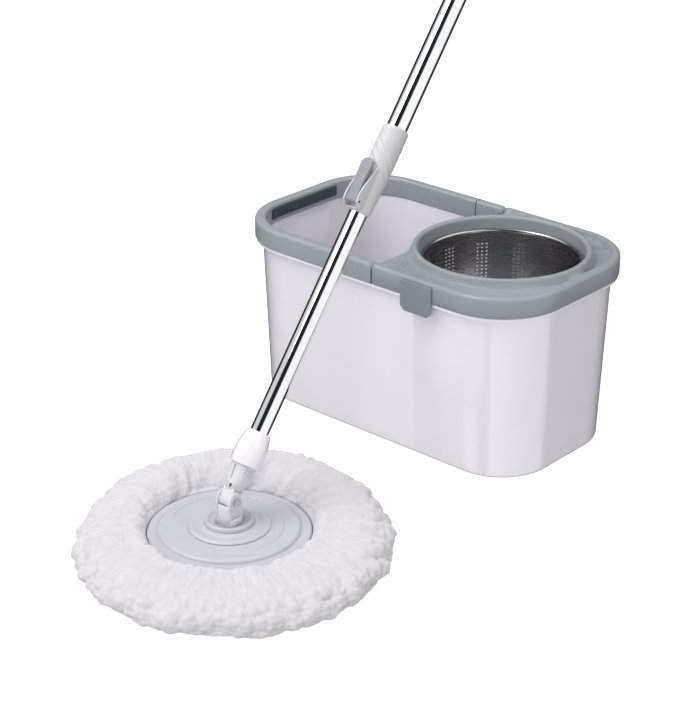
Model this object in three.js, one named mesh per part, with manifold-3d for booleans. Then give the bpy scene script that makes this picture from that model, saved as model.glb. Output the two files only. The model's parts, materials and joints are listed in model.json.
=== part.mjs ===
// Spin mop with its bucket and hand-press wringer.
// Millimetres, +Z up. The bucket stands on z = 0 with its length along X: the wringer is at
// the +X end, the wash compartment at the -X end. The mop lies on its head in front of the
// bucket (-Y) and its pole leans back over it (+Y).

import * as THREE from 'three';
import { mergeVertices } from 'three/addons/utils/BufferGeometryUtils.js';
import Module from 'manifold-3d';

const wasm = await Module();
wasm.setup();

// ---------------------------------------------------------------- driving dimensions

const GAP = 0.3; // clearance between neighbouring pieces

// The grey rim that runs round the top: handle on the left, wringer cover on the right.
const RIM = { halfLength: 230, halfWidth: 135.5, radius: 87, top: 243.5, height: 25, wall: 2.5, width: 14 };
const RIM_BOTTOM = RIM.top - RIM.height;

// The white tub: its outline at the floor and just under the rim.
const TUB_FOOT = { halfLength: 217, halfWidth: 113.5, radius: 72 };
const TUB_TOP = { halfLength: 222, halfWidth: 125.5, radius: 80 };
const TUB = { wall: 2.5, floor: 3, flangeUnder: RIM_BOTTOM - 4.5, flangeTop: RIM_BOTTOM - 1, lip: RIM.top - 3.5 };

// The tub's lip is a wall that stands inside the rim's channel, between these two insets.
const LIP = { outside: 5.5, inside: 8.5 };

// The handle turns on two pins beside the wringer cover, close under its top edge.
const PIVOT = { x: 6, z: RIM.top - 7.5, nose: 7.5, pinRadius: 2.5, bossRadius: 4.6 };
const COVER_LEFT = PIVOT.x + PIVOT.nose + 1.5;

// The wringer: collar in the cover, basket below it.
const WRINGER_X = 107.6;
const COLLAR = { inner: 102.4, outer: 110, top: RIM.top + 9, bottom: RIM_BOTTOM + 7.5 };
const BASKET = { rimRadius: 97.4, rimWire: 2.4, rimZ: 235.3, topRadius: 97.5, footRadius: 93.5, floor: 116, sheet: 1.2 };
const SPINDLE = { radius: 5, bottom: 20, top: 138 };
const BEARING = { outer: 9, bottom: 98, top: 141 };

// The mop: head on the floor, knuckle above its middle, pole leaning over the bucket.
const HEAD = { x: 57.6, y: -426, plateRadius: 94, plateUnder: 15, fringeRadius: 192, fringeTop: 38 };
const KNUCKLE = { z: 57, eye: 8, halfWidth: 7.6, pinRadius: 3 };
const LEAN = THREE.MathUtils.degToRad(37.7);

// Stations along the pole, measured from the knuckle's pin.
const BELL = { bottom: 41.3, top: 83 };
const LOWER_TUBE = { bottom: 50.6, top: 560, outer: 11, inner: 10 };
const SLEEVE = { bottom: 359, top: 464, radius: 16, step: 420 };
const UPPER_TUBE = { bottom: SLEEVE.step + 1, top: 1080, outer: 12.5, inner: 11.6 };
const ROD = { bottom: 480, top: 928, width: 6, thickness: 2.4, pitch: 120 };
const CLUTCH = { bottom: 540, top: 556, outer: 9.7, inner: 7.5, nut: 549 };
const LEVER = { hingeY: -19.9, hingeZ: 366, halfWidth: 8, thickness: 6.6, length: 52 };
const GRIP = { bottom: 952, top: 1086, radius: 15.5 };
const CAP = { top: 1126, holeRadius: 5 };

// ---------------------------------------------------------------- materials

function plastic(color, roughness) {
  return new THREE.MeshStandardMaterial({ color, roughness, metalness: 0 });
}

function metal(color, roughness) {
  return new THREE.MeshStandardMaterial({ color, roughness, metalness: 1 });
}

const pearlWhite = plastic(0xe2dfe9, 0.25);
const rimGrey = plastic(0x98a4aa, 0.42);
const latchGrey = plastic(0x858c96, 0.4);
const combDark = plastic(0x3c4247, 0.6);
const leverGrey = plastic(0x989da4, 0.4);
const sleeveWhite = plastic(0xdcdcde, 0.4);
const plateGrey = plastic(0xd3d3d6, 0.4);
const innerWhite = plastic(0xe8e8ea, 0.5);
const microfibre = plastic(0xf6f6f8, 0.95);
const gripGrey = plastic(0x6f777e, 0.7);
const chrome = metal(0xd9dcdf, 0.08);
const stainless = metal(0xb4b7ba, 0.28);
const brass = metal(0xc9a45a, 0.35);

// ---------------------------------------------------------------- solids and booleans

function toSolid(geometry) {
  const bare = geometry.clone();
  bare.deleteAttribute('normal');
  bare.deleteAttribute('uv');
  const merged = mergeVertices(bare, 1e-4);
  const vertProperties = new Float32Array(merged.attributes.position.array);
  const triVerts = new Uint32Array(merged.index.array);
  return new wasm.Manifold(new wasm.Mesh({ numProp: 3, vertProperties, triVerts }));
}

function toGeometry(solid) {
  const mesh = solid.getMesh();
  const geometry = new THREE.BufferGeometry();
  geometry.setAttribute('position', new THREE.BufferAttribute(new Float32Array(mesh.vertProperties), 3));
  geometry.setIndex(new THREE.BufferAttribute(new Uint32Array(mesh.triVerts), 1));
  geometry.computeVertexNormals();
  return geometry;
}

function box(x0, x1, y0, y1, z0, z1) {
  const geometry = new THREE.BoxGeometry(x1 - x0, y1 - y0, z1 - z0);
  return toSolid(geometry.translate((x0 + x1) / 2, (y0 + y1) / 2, (z0 + z1) / 2));
}

function turned(profile, segments = 32) {
  const points = profile.map(([r, z]) => new THREE.Vector2(r, z));
  return toSolid(new THREE.LatheGeometry(points, segments).rotateX(Math.PI / 2));
}

function ring(inner, outer, z0, z1, segments = 32) {
  return turned([[inner, z0], [outer, z0], [outer, z1], [inner, z1], [inner, z0]], segments);
}

function rod(radius, z0, z1, segments = 28) {
  const geometry = new THREE.CylinderGeometry(radius, radius, z1 - z0, segments);
  return toSolid(geometry.rotateX(Math.PI / 2).translate(0, 0, (z0 + z1) / 2));
}

function rodAlongX(radius, x0, x1, y, z, segments = 20) {
  const geometry = new THREE.CylinderGeometry(radius, radius, x1 - x0, segments);
  return toSolid(geometry.rotateZ(Math.PI / 2).translate((x0 + x1) / 2, y, z));
}

function rodAlongY(radius, y0, y1, x, z, segments = 20) {
  const geometry = new THREE.CylinderGeometry(radius, radius, y1 - y0, segments);
  return toSolid(geometry.translate(x, (y0 + y1) / 2, z));
}

function extruded(shape, depth, curveSegments = 8) {
  return new THREE.ExtrudeGeometry(shape, { depth, bevelEnabled: false, curveSegments, steps: 1 });
}

// A closed skin through rings of equal point counts, with a flat fan over each end.
function lofted(rings) {
  const count = rings[0].length;
  const positions = rings.flat().flatMap((p) => [p.x, p.y, p.z]);
  const index = [];
  for (let k = 0; k + 1 < rings.length; k += 1) {
    for (let i = 0; i < count; i += 1) {
      const a = k * count + i;
      const b = k * count + ((i + 1) % count);
      index.push(a, b, b + count, a, b + count, a + count);
    }
  }
  for (const end of [0, rings.length - 1]) {
    const centre = positions.length / 3;
    const middle = rings[end].reduce((sum, p) => sum.add(p), new THREE.Vector3()).divideScalar(count);
    positions.push(middle.x, middle.y, middle.z);
    for (let i = 0; i < count; i += 1) {
      const a = end * count + i;
      const b = end * count + ((i + 1) % count);
      index.push(...(end === 0 ? [centre, b, a] : [centre, a, b]));
    }
  }
  const geometry = new THREE.BufferGeometry();
  geometry.setAttribute('position', new THREE.Float32BufferAttribute(positions, 3));
  geometry.setIndex(index);
  return toSolid(geometry);
}

// A rounded rectangle in plan at height z, counter-clockwise.
function outlineAt({ halfLength, halfWidth, radius }, z, perCorner = 6) {
  const points = [];
  const corners = [[1, 1, 0], [-1, 1, 1], [-1, -1, 2], [1, -1, 3]];
  for (const [sx, sy, quarter] of corners) {
    for (let i = 0; i <= perCorner; i += 1) {
      const angle = (quarter + i / perCorner) * (Math.PI / 2);
      const x = sx * (halfLength - radius) + radius * Math.cos(angle);
      const y = sy * (halfWidth - radius) + radius * Math.sin(angle);
      points.push(new THREE.Vector3(x, y, z));
    }
  }
  return points;
}

function inset({ halfLength, halfWidth, radius }, by) {
  return { halfLength: halfLength - by, halfWidth: halfWidth - by, radius: radius - by };
}

function slab(outline, z0, z1) {
  return lofted([outlineAt(outline, z0), outlineAt(outline, z1)]);
}

const ONE_SIDE = 400; // longer than the bucket, for cutting boxes
const rightOf = (x) => box(x, ONE_SIDE, -ONE_SIDE, ONE_SIDE, -ONE_SIDE, ONE_SIDE);
const leftOf = (x) => box(-ONE_SIDE, x, -ONE_SIDE, ONE_SIDE, -ONE_SIDE, ONE_SIDE);

const part = new THREE.Group();
part.name = 'spin_mop_set';

function addMesh(group, name, solid, material) {
  const mesh = new THREE.Mesh(toGeometry(solid), material);
  mesh.name = name;
  group.add(mesh);
  return mesh;
}

function addGroup(parent, name, x, y, z) {
  const group = new THREE.Group();
  group.name = name;
  group.position.set(x, y, z);
  parent.add(group);
  return group;
}

// ---------------------------------------------------------------- tub

// A shallow groove down the long wall, on the given side (-1 front, +1 back).
function wallGroove(side) {
  const depth = 1;
  const halfWidth = 0.9;
  const bottom = { y: TUB_FOOT.halfWidth - depth, z: 8, x: 67.6 };
  const top = { y: TUB_TOP.halfWidth - depth, z: 206, x: 73.2 };
  const rings = [bottom, top].map(({ x, y, z }) => {
    const square = [[-halfWidth, 0], [halfWidth, 0], [halfWidth, 6], [-halfWidth, 6]];
    const points = square.map(([dx, dy]) => new THREE.Vector3(x + dx, side * (y + dy), z));
    return side > 0 ? points : points.reverse();
  });
  return lofted(rings);
}

function buildTub() {
  const { wall, floor, flangeUnder, flangeTop, lip } = TUB;
  const body = lofted([
    outlineAt(inset(TUB_FOOT, 4), 0),
    outlineAt(inset(TUB_FOOT, 1.2), 1.2),
    outlineAt(TUB_FOOT, 4),
    outlineAt(TUB_TOP, flangeTop),
  ]);
  const hollow = lofted([
    outlineAt(inset(TUB_FOOT, wall + 3), floor),
    outlineAt(inset(TUB_FOOT, wall), floor + 3),
    outlineAt(inset(TUB_TOP, wall), flangeTop + 0.1),
  ]);
  const flange = slab(inset(RIM, 1.5), flangeUnder, flangeTop);
  const lipOutside = slab(inset(RIM, LIP.outside), flangeUnder, lip);
  const lipInside = slab(inset(RIM, LIP.inside), flangeTop, lip + 1);
  let tub = body.add(flange).add(lipOutside).subtract(lipInside).subtract(hollow);
  // the lip is cut back beside each pivot, where the handle's rounded end turns
  tub = tub.subtract(box(PIVOT.x, COVER_LEFT, -ONE_SIDE, ONE_SIDE, flangeTop, lip + 1));
  for (const side of [-1, 1]) {
    const ends = [side * (RIM.halfWidth - LIP.inside), side * (RIM.halfWidth - LIP.outside)].sort((a, b) => a - b);
    tub = tub.add(rodAlongY(PIVOT.bossRadius, ends[0], ends[1], PIVOT.x, PIVOT.z));
    tub = tub.subtract(wallGroove(side));
  }
  const pinHole = rodAlongY(PIVOT.pinRadius + GAP, -ONE_SIDE, ONE_SIDE, PIVOT.x, PIVOT.z);
  return tub.subtract(pinHole);
}

// ---------------------------------------------------------------- carry handle

// A U-shaped channel that sits over the tub's lip. Its ends are square at the bottom and rounded
// about the pivot at the top, so that they clear the cover as the handle comes up.
function buildHandle() {
  const { wall, width, top, halfWidth } = RIM;
  const outside = slab(RIM, RIM_BOTTOM, top);
  const opening = slab(inset(RIM, width), RIM_BOTTOM - 1, top + 1);
  const channel = slab(inset(RIM, wall), RIM_BOTTOM - 1, top - wall);
  const core = slab(inset(RIM, width - wall), RIM_BOTTOM - 2, top - wall + 1);
  const rimRing = outside.subtract(channel.subtract(core)).subtract(opening);
  const nose = rodAlongY(PIVOT.nose, -halfWidth, halfWidth, PIVOT.x, PIVOT.z, 24);
  const flangeRoom = rodAlongY(PIVOT.z - TUB.flangeTop - GAP, -halfWidth, halfWidth, PIVOT.x, PIVOT.z, 48);
  const lowerEnd = box(PIVOT.x - 1, PIVOT.x + PIVOT.nose, -halfWidth, halfWidth, RIM_BOTTOM, PIVOT.z);
  const reach = leftOf(PIVOT.x).add(nose).add(lowerEnd.intersect(flangeRoom));
  const pinHole = rodAlongY(PIVOT.pinRadius + GAP, -ONE_SIDE, ONE_SIDE, PIVOT.x, PIVOT.z);
  return rimRing.intersect(reach).subtract(pinHole);
}

// A pin with its head inside the rim and its end flush with the outside.
function buildPivotPin(side) {
  const inner = RIM.halfWidth - RIM.width - GAP;
  const shank = rodAlongY(PIVOT.pinRadius, inner - 1, RIM.halfWidth - GAP, PIVOT.x, PIVOT.z);
  const head = rodAlongY(PIVOT.pinRadius + 2, inner - 2, inner, PIVOT.x, PIVOT.z);
  const pin = shank.add(head);
  return side > 0 ? pin : pin.mirror([0, 1, 0]);
}

// The toothed grip strip on the inside of the handle's end.
function buildGripComb() {
  const face = -RIM.halfLength + RIM.width + GAP;
  const from = -50;
  const teeth = 16;
  const pitch = 6;
  let comb = box(face, face + 1.2, from, from + teeth * pitch, RIM_BOTTOM + 5, RIM.top - 5);
  for (let i = 0; i < teeth; i += 1) {
    const y = from + (i + 0.25) * pitch;
    comb = comb.add(box(face + 0.5, face + 3.2, y, y + pitch / 2, RIM_BOTTOM + 5, RIM.top - 5));
  }
  return comb;
}

// ---------------------------------------------------------------- wringer cover

function buildCover() {
  const { wall, top, halfWidth } = RIM;
  const plateUnder = TUB.lip + 0.5;
  const plate = slab(RIM, plateUnder, top);
  const skirt = slab(RIM, RIM_BOTTOM, top).subtract(slab(inset(RIM, wall), RIM_BOTTOM - 1, top - 1));
  const outer = plate.add(skirt).intersect(rightOf(COVER_LEFT));
  const collar = turned([
    [COLLAR.inner, COLLAR.bottom],
    [COLLAR.outer - 3, COLLAR.bottom],
    [COLLAR.outer, COLLAR.bottom + 3],
    [COLLAR.outer + 2, top - 1],
    [COLLAR.outer - 1, COLLAR.top - 1.5],
    [COLLAR.outer - 3.5, COLLAR.top],
    [COLLAR.inner + 2, COLLAR.top],
    [COLLAR.inner, COLLAR.top - 2],
    [COLLAR.inner, COLLAR.bottom],
  ], 48).translate([WRINGER_X, 0, 0]);
  const mouth = rod(COLLAR.inner + 1, RIM_BOTTOM - 5, COLLAR.top + 5, 48).translate([WRINGER_X, 0, 0]);
  let cover = outer;
  // a turned-down edge closes the cover towards the wash compartment
  const lipInside = halfWidth - LIP.inside - 1;
  for (const [y0, y1] of [[-lipInside, -40], [40, lipInside]]) {
    cover = cover.add(box(COVER_LEFT, COVER_LEFT + wall, y0, y1, COLLAR.bottom, top));
  }
  return cover.subtract(mouth).add(collar);
}

// An oval ribbed pad on the cover, for the foot or the thumb.
function buildPad(x, y, turn) {
  const ribs = 4;
  const pitch = 5;
  let pad = toSolid(new THREE.CylinderGeometry(12, 12, 1, 28).rotateX(Math.PI / 2).scale(1, 0.75, 1));
  for (let i = 0; i < ribs; i += 1) {
    const rib = (i - (ribs - 1) / 2) * pitch;
    const reach = 8 * Math.sqrt(1 - (rib / 12) ** 2);
    pad = pad.add(box(rib - 1.1, rib + 1.1, -reach, reach, 0, 1.5));
  }
  return pad.rotate([0, 0, turn]).translate([x, y, RIM.top + GAP + 0.5]);
}

// A side clip: a plate that hangs over the rim and hooks in below it.
function buildLatch(side) {
  const face = RIM.halfWidth + GAP;
  const thick = 3.2;
  const [left, right, bottom, top, chamfer] = [63, 110, 200, 239, 5];
  const shape = new THREE.Shape();
  shape.moveTo(left + chamfer, bottom);
  shape.lineTo(right - chamfer, bottom);
  shape.lineTo(right, bottom + chamfer);
  shape.lineTo(right, top - 1.5);
  shape.lineTo(right - 1.5, top);
  shape.lineTo(left + 1.5, top);
  shape.lineTo(left, top - 1.5);
  shape.lineTo(left, bottom + chamfer);
  const plate = toSolid(extruded(shape, thick).rotateX(Math.PI / 2)).translate([0, face + thick, 0]);
  const hook = box(left + chamfer, right - chamfer, face - 3.2, face + 1, bottom, bottom + 2.4);
  const latch = plate.add(hook);
  return side > 0 ? latch : latch.mirror([0, 1, 0]);
}

// ---------------------------------------------------------------- basket and its spindle

function buildBasket() {
  const { topRadius, footRadius, floor, sheet, rimZ, rimWire } = BASKET;
  const top = rimZ - rimWire - GAP;
  const hubHole = 22.3;
  let shell = turned([
    [hubHole, floor],
    [footRadius - 6, floor],
    [footRadius - 1.8, floor + 1.8],
    [footRadius, floor + 6],
    [topRadius, top],
    [topRadius - sheet, top],
    [footRadius - sheet, floor + 6.5],
    [footRadius - 2.8, floor + 2.8],
    [footRadius - 6.4, floor + sheet],
    [hubHole, floor + sheet],
    [hubHole, floor],
  ], 40);
  const columns = 14;
  for (let i = 0; i < columns; i += 1) {
    const angle = (i / columns) * 360;
    for (const z of [152, 176, 200]) {
      shell = shell.subtract(rodAlongX(3, footRadius - 6, topRadius + 4, 0, z, 5).rotate([0, 0, angle]));
    }
  }
  const drains = 6;
  for (let i = 0; i < drains; i += 1) {
    const drain = rod(5, floor - 1, floor + sheet + 1, 6).translate([62, 0, 0]);
    shell = shell.subtract(drain.rotate([0, 0, (i / drains) * 360]));
  }
  return shell;
}

function buildBasketRim() {
  const { rimRadius, rimWire, rimZ } = BASKET;
  return toSolid(new THREE.TorusGeometry(rimRadius, rimWire, 6, 48).translate(0, 0, rimZ));
}

// The hub stands on the basket's floor and turns round the bearing sleeve.
function buildHub() {
  const seat = BASKET.floor + BASKET.sheet + GAP;
  const bore = BEARING.outer + GAP;
  const top = BEARING.top + GAP;
  return turned([
    [bore, BASKET.floor - 6],
    [22, BASKET.floor - 6],
    [22, seat],
    [32, seat],
    [31, seat + 3],
    [19, seat + 8],
    [14.5, top + 4],
    [11, top + 9],
    [0, top + 10],
    [0, top],
    [bore, top],
    [bore, BASKET.floor - 6],
  ], 28);
}

function buildBearing() {
  const bore = SPINDLE.radius + GAP;
  const { outer, bottom, top } = BEARING;
  return turned([
    [bore, bottom],
    [outer + 4, bottom],
    [outer + 4, bottom + 3],
    [outer, bottom + 3],
    [outer, top],
    [0, top],
    [0, SPINDLE.top + GAP],
    [bore, SPINDLE.top + GAP],
    [bore, bottom],
  ], 24);
}

function buildSpindleBase() {
  const seat = TUB.floor + GAP;
  const bore = SPINDLE.radius + GAP;
  return turned([
    [0, seat],
    [44, seat],
    [43, seat + 4],
    [24, seat + 9],
    [15, 60],
    [12, 64],
    [bore, 64],
    [bore, SPINDLE.bottom - GAP],
    [0, SPINDLE.bottom - GAP],
  ], 28);
}

// ---------------------------------------------------------------- mop head

function buildMopPlate() {
  const { plateRadius, plateUnder } = HEAD;
  return turned([
    [0, plateUnder],
    [plateRadius - 2, plateUnder],
    [plateRadius, plateUnder + 1.5],
    [plateRadius, plateUnder + 3],
    [plateRadius - 2, plateUnder + 4.5],
    [77.5, plateUnder + 5],
    [75, plateUnder + 9],
    [0, plateUnder + 9],
  ], 48);
}

function buildBossCover() {
  const seat = HEAD.plateUnder + 9 + GAP;
  return turned([[0, seat], [46, seat], [46, seat + 1.6], [43.5, seat + 3], [0, seat + 4]], 40);
}

function buildHubRing() {
  const seat = HEAD.plateUnder + 13 + 2 * GAP;
  return turned([
    [17, seat], [26.5, seat], [26.5, seat + 3], [24.5, seat + 5], [17, seat + 5], [17, seat],
  ], 32);
}

// Two ears that carry the knuckle's pin, on a round foot inside the hub ring.
function buildFork() {
  const seat = HEAD.plateUnder + 13 + 2 * GAP;
  const ear = { inner: KNUCKLE.halfWidth + 0.4, outer: KNUCKLE.halfWidth + 5 };
  let fork = rod(16.6, seat, seat + 8);
  for (const side of [-1, 1]) {
    const ends = [side * ear.inner, side * ear.outer].sort((a, b) => a - b);
    fork = fork.add(rodAlongX(KNUCKLE.eye, ends[0], ends[1], 0, KNUCKLE.z));
    fork = fork.add(box(ends[0], ends[1], -KNUCKLE.eye, KNUCKLE.eye, seat + 2, KNUCKLE.z));
  }
  return fork.subtract(rodAlongX(KNUCKLE.pinRadius + GAP, -30, 30, 0, KNUCKLE.z));
}

function buildKnucklePin() {
  const reach = KNUCKLE.halfWidth + 5 + GAP;
  const shank = rodAlongX(KNUCKLE.pinRadius, -reach - 1, reach + 1, 0, KNUCKLE.z);
  const heads = [-1, 1].map((side) => {
    const ends = [side * reach, side * (reach + 1.6)].sort((a, b) => a - b);
    return rodAlongX(KNUCKLE.pinRadius + 1.6, ends[0], ends[1], 0, KNUCKLE.z);
  });
  return shank.add(heads[0]).add(heads[1]);
}

// The microfibre fringe: a flat cushion under the plate that swells into a lobed ring round it.
function buildFringe() {
  const { plateRadius, fringeRadius, fringeTop, plateUnder } = HEAD;
  const lobes = 22;
  const around = lobes * 3;
  const swell = plateRadius + 3;
  const under = plateUnder - 3;
  const profile = [
    [24, 0], [fringeRadius - 6, 0], [fringeRadius, 9], [fringeRadius - 5, 22],
    [fringeRadius - 20, 33], [fringeRadius - 48, fringeTop], [swell, fringeTop - 14],
    [swell - 1.5, under], [24, under],
  ];
  const count = profile.length;
  const positions = [];
  const index = [];
  for (let i = 0; i < around; i += 1) {
    const angle = (i / around) * 2 * Math.PI;
    for (const [r, z] of profile) {
      const outwards = THREE.MathUtils.smoothstep(r, swell + 10, fringeRadius);
      const radius = r - outwards * 5 * (1 - Math.cos(angle * lobes));
      positions.push(radius * Math.cos(angle), radius * Math.sin(angle), z);
    }
    const next = ((i + 1) % around) * count;
    for (let k = 0; k < count; k += 1) {
      const a = i * count + k;
      const b = i * count + ((k + 1) % count);
      const c = next + ((k + 1) % count);
      const d = next + k;
      index.push(a, d, c, a, c, b);
    }
  }
  const geometry = new THREE.BufferGeometry();
  geometry.setAttribute('position', new THREE.Float32BufferAttribute(positions, 3));
  geometry.setIndex(index);
  return toSolid(geometry);
}

// ---------------------------------------------------------------- knuckle neck, bell and lower tube

function buildNeck() {
  const top = BELL.bottom - GAP;
  const eye = rodAlongX(KNUCKLE.eye, -KNUCKLE.halfWidth, KNUCKLE.halfWidth, 0, 0);
  const shank = box(-KNUCKLE.halfWidth, KNUCKLE.halfWidth, -6.5, 6.5, 0, 14);
  const flare = turned([[0, 10.5], [7, 10.5], [11, 20], [13, 28], [13.5, top], [0, top]], 24);
  let neck = eye.add(shank).add(flare);
  for (const side of [-1, 1]) {
    neck = neck.subtract(box(-3, 3, side > 0 ? 8 : -20, side > 0 ? 20 : -8, 16, 29));
  }
  return neck.subtract(rodAlongX(KNUCKLE.pinRadius + GAP, -30, 30, 0, 0));
}

function buildBell() {
  const { bottom, top } = BELL;
  const bore = LOWER_TUBE.outer + GAP;
  return turned([
    [0, bottom], [17.6, bottom], [19, bottom + 1.6], [18.6, bottom + 12], [16.2, bottom + 28],
    [14.6, top - 2], [13.6, top], [bore, top], [bore, LOWER_TUBE.bottom - GAP], [0, LOWER_TUBE.bottom - GAP],
  ], 28);
}

function buildLowerTube() {
  return ring(LOWER_TUBE.inner, LOWER_TUBE.outer, LOWER_TUBE.bottom, LOWER_TUBE.top, 28);
}

function buildTubePlug() {
  return rod(LOWER_TUBE.inner - GAP, LOWER_TUBE.bottom, LOWER_TUBE.bottom + 28, 24);
}

// ---------------------------------------------------------------- press drive

function buildClutchRing() {
  return ring(CLUTCH.inner, CLUTCH.outer, CLUTCH.bottom, CLUTCH.top, 28);
}

// A thin nut whose slot fits the twisted bar.
function buildDriveNut() {
  const half = 1.5;
  const nut = rod(CLUTCH.inner - GAP, CLUTCH.nut - half, CLUTCH.nut + half, 24);
  const slot = box(-3.6, 3.6, -1.95, 1.95, CLUTCH.nut - 5, CLUTCH.nut + 5);
  return nut.subtract(slot.rotate([0, 0, twistAt(CLUTCH.nut)]));
}

function twistAt(z) {
  return ((z - ROD.bottom) / ROD.pitch) * 360;
}

function buildTwistRod() {
  const steps = Math.round(((ROD.top - ROD.bottom) / ROD.pitch) * 16);
  const rings = [];
  for (let k = 0; k <= steps; k += 1) {
    const z = ROD.bottom + ((ROD.top - ROD.bottom) * k) / steps;
    const turn = THREE.MathUtils.degToRad(twistAt(z));
    const corners = [[1, 1], [-1, 1], [-1, -1], [1, -1]];
    rings.push(corners.map(([sx, sy]) => {
      const corner = new THREE.Vector3((sx * ROD.width) / 2, (sy * ROD.thickness) / 2, z);
      return corner.applyAxisAngle(new THREE.Vector3(0, 0, 1), turn);
    }));
  }
  return lofted(rings);
}

function buildRodAnchor() {
  const socket = Math.hypot(ROD.width, ROD.thickness) / 2 + GAP;
  return turned([
    [socket, ROD.top - 12],
    [UPPER_TUBE.inner - GAP, ROD.top - 12],
    [UPPER_TUBE.inner - GAP, ROD.top + 10],
    [0, ROD.top + 10],
    [0, ROD.top + GAP],
    [socket, ROD.top + GAP],
    [socket, ROD.top - 12],
  ], 28);
}

// ---------------------------------------------------------------- upper pole

function buildUpperTube() {
  return ring(UPPER_TUBE.inner, UPPER_TUBE.outer, UPPER_TUBE.bottom, UPPER_TUBE.top, 28);
}

// The locking sleeve: a grip on the upper tube's end with two cheeks for the lever's pin.
function buildSleeve() {
  const { bottom, top, radius, step } = SLEEVE;
  const narrow = LOWER_TUBE.outer + GAP;
  const wide = UPPER_TUBE.outer + GAP;
  let sleeve = turned([
    [narrow, bottom], [13.4, bottom], [14, bottom + 1.5], [15, bottom + 30], [radius, step - 4],
    [radius, top - 3], [radius - 1.4, top], [wide, top], [wide, step], [narrow, step], [narrow, bottom],
  ], 28);
  const cheek = new THREE.Shape();
  cheek.moveTo(-13, bottom + 2);
  cheek.lineTo(LEVER.hingeY + 1, LEVER.hingeZ - 9);
  cheek.absarc(LEVER.hingeY, LEVER.hingeZ, 4.6, -Math.PI / 2, -Math.PI, true);
  cheek.lineTo(-21, LEVER.hingeZ + 18);
  cheek.lineTo(-13, LEVER.hingeZ + 48);
  for (const x of [-LEVER.halfWidth - GAP - 2.4, LEVER.halfWidth + GAP]) {
    // drawn with y across the page and z up it, then stood on its edge
    const plate = extruded(cheek, 2.4, 6);
    plate.applyMatrix4(new THREE.Matrix4().makeBasis(
      new THREE.Vector3(0, 1, 0), new THREE.Vector3(0, 0, 1), new THREE.Vector3(1, 0, 0)));
    sleeve = sleeve.add(toSolid(plate.translate(x, 0, 0)));
  }
  const core = rod(narrow, bottom - 1, step).add(rod(wide, step, top + 1));
  return sleeve.subtract(core).subtract(rodAlongX(1.5 + GAP, -30, 30, LEVER.hingeY, LEVER.hingeZ, 16));
}

function buildLeverPin() {
  const reach = LEVER.halfWidth + GAP + 2.4;
  return rodAlongX(1.5, -reach, reach, LEVER.hingeY, LEVER.hingeZ, 16);
}

function buildLever() {
  const { hingeY, hingeZ, halfWidth, thickness, length } = LEVER;
  const half = thickness / 2;
  const shape = new THREE.Shape();
  shape.moveTo(-halfWidth, hingeZ - half);
  shape.lineTo(halfWidth, hingeZ - half);
  shape.lineTo(halfWidth, hingeZ + length - halfWidth);
  shape.absarc(0, hingeZ + length - halfWidth, halfWidth, 0, Math.PI, false);
  // extruding and standing the outline up leaves it facing -Y, from y = 0 to -thickness
  const blade = toSolid(extruded(shape, thickness, 10).rotateX(Math.PI / 2)).translate([0, hingeY + half, 0]);
  const heel = rodAlongX(half, -halfWidth, halfWidth, hingeY, hingeZ, 24);
  const corner = box(-20, 20, hingeY - 20, hingeY + 20, hingeZ - half - 1, hingeZ);
  return blade.subtract(corner).add(heel).subtract(rodAlongX(1.5 + GAP, -20, 20, hingeY, hingeZ, 16));
}

function buildGrip() {
  const { bottom, top, radius } = GRIP;
  const bore = UPPER_TUBE.outer + GAP;
  const profile = [[bore, bottom], [14.2, bottom], [radius, bottom + 2]];
  const waves = 3;
  const pitch = (top - bottom - 10) / waves;
  for (let i = 0; i < waves; i += 1) {
    profile.push([radius, bottom + 4 + (i + 0.2) * pitch]);
    profile.push([radius - 1, bottom + 4 + (i + 0.5) * pitch]);
    profile.push([radius, bottom + 4 + (i + 0.8) * pitch]);
  }
  profile.push([radius, top - 2], [14.2, top], [bore, top], [bore, bottom]);
  return turned(profile, 20);
}

// The cap closes the tube's end and has a hole to hang the mop by.
function buildCap() {
  const seat = GRIP.top + GAP;
  const neck = rod(15, seat, seat + 6, 24);
  const tongue = new THREE.Shape();
  const middle = CAP.top - 12;
  tongue.moveTo(-12, seat + 3);
  tongue.lineTo(12, seat + 3);
  tongue.lineTo(12, middle);
  tongue.absarc(0, middle, 12, 0, Math.PI, false);
  const flat = extruded(tongue, 9, 12);
  flat.applyMatrix4(new THREE.Matrix4().makeBasis(
    new THREE.Vector3(0, 1, 0), new THREE.Vector3(0, 0, 1), new THREE.Vector3(1, 0, 0)));
  const plug = rod(UPPER_TUBE.inner - GAP, UPPER_TUBE.top - 22, seat + 1, 24);
  const hole = rodAlongX(CAP.holeRadius, -20, 20, 0, middle, 20);
  return neck.add(plug).add(toSolid(flat.translate(-4.5, 0, 0))).subtract(hole);
}

// ---------------------------------------------------------------- assembly

addMesh(part, 'tub', buildTub(), pearlWhite);
addMesh(part, 'pivot_pin_front', buildPivotPin(-1), rimGrey);
addMesh(part, 'pivot_pin_back', buildPivotPin(1), rimGrey);
addMesh(part, 'wringer_cover', buildCover(), rimGrey);
addMesh(part, 'thumb_pad_front', buildPad(37, -108, 40), rimGrey);
addMesh(part, 'thumb_pad_back', buildPad(178, 106, 40), rimGrey);
addMesh(part, 'latch_front', buildLatch(-1), latchGrey);
addMesh(part, 'latch_back', buildLatch(1), latchGrey);
addMesh(part, 'carry_handle', buildHandle(), rimGrey);
addMesh(part, 'grip_comb', buildGripComb(), combDark);

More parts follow.
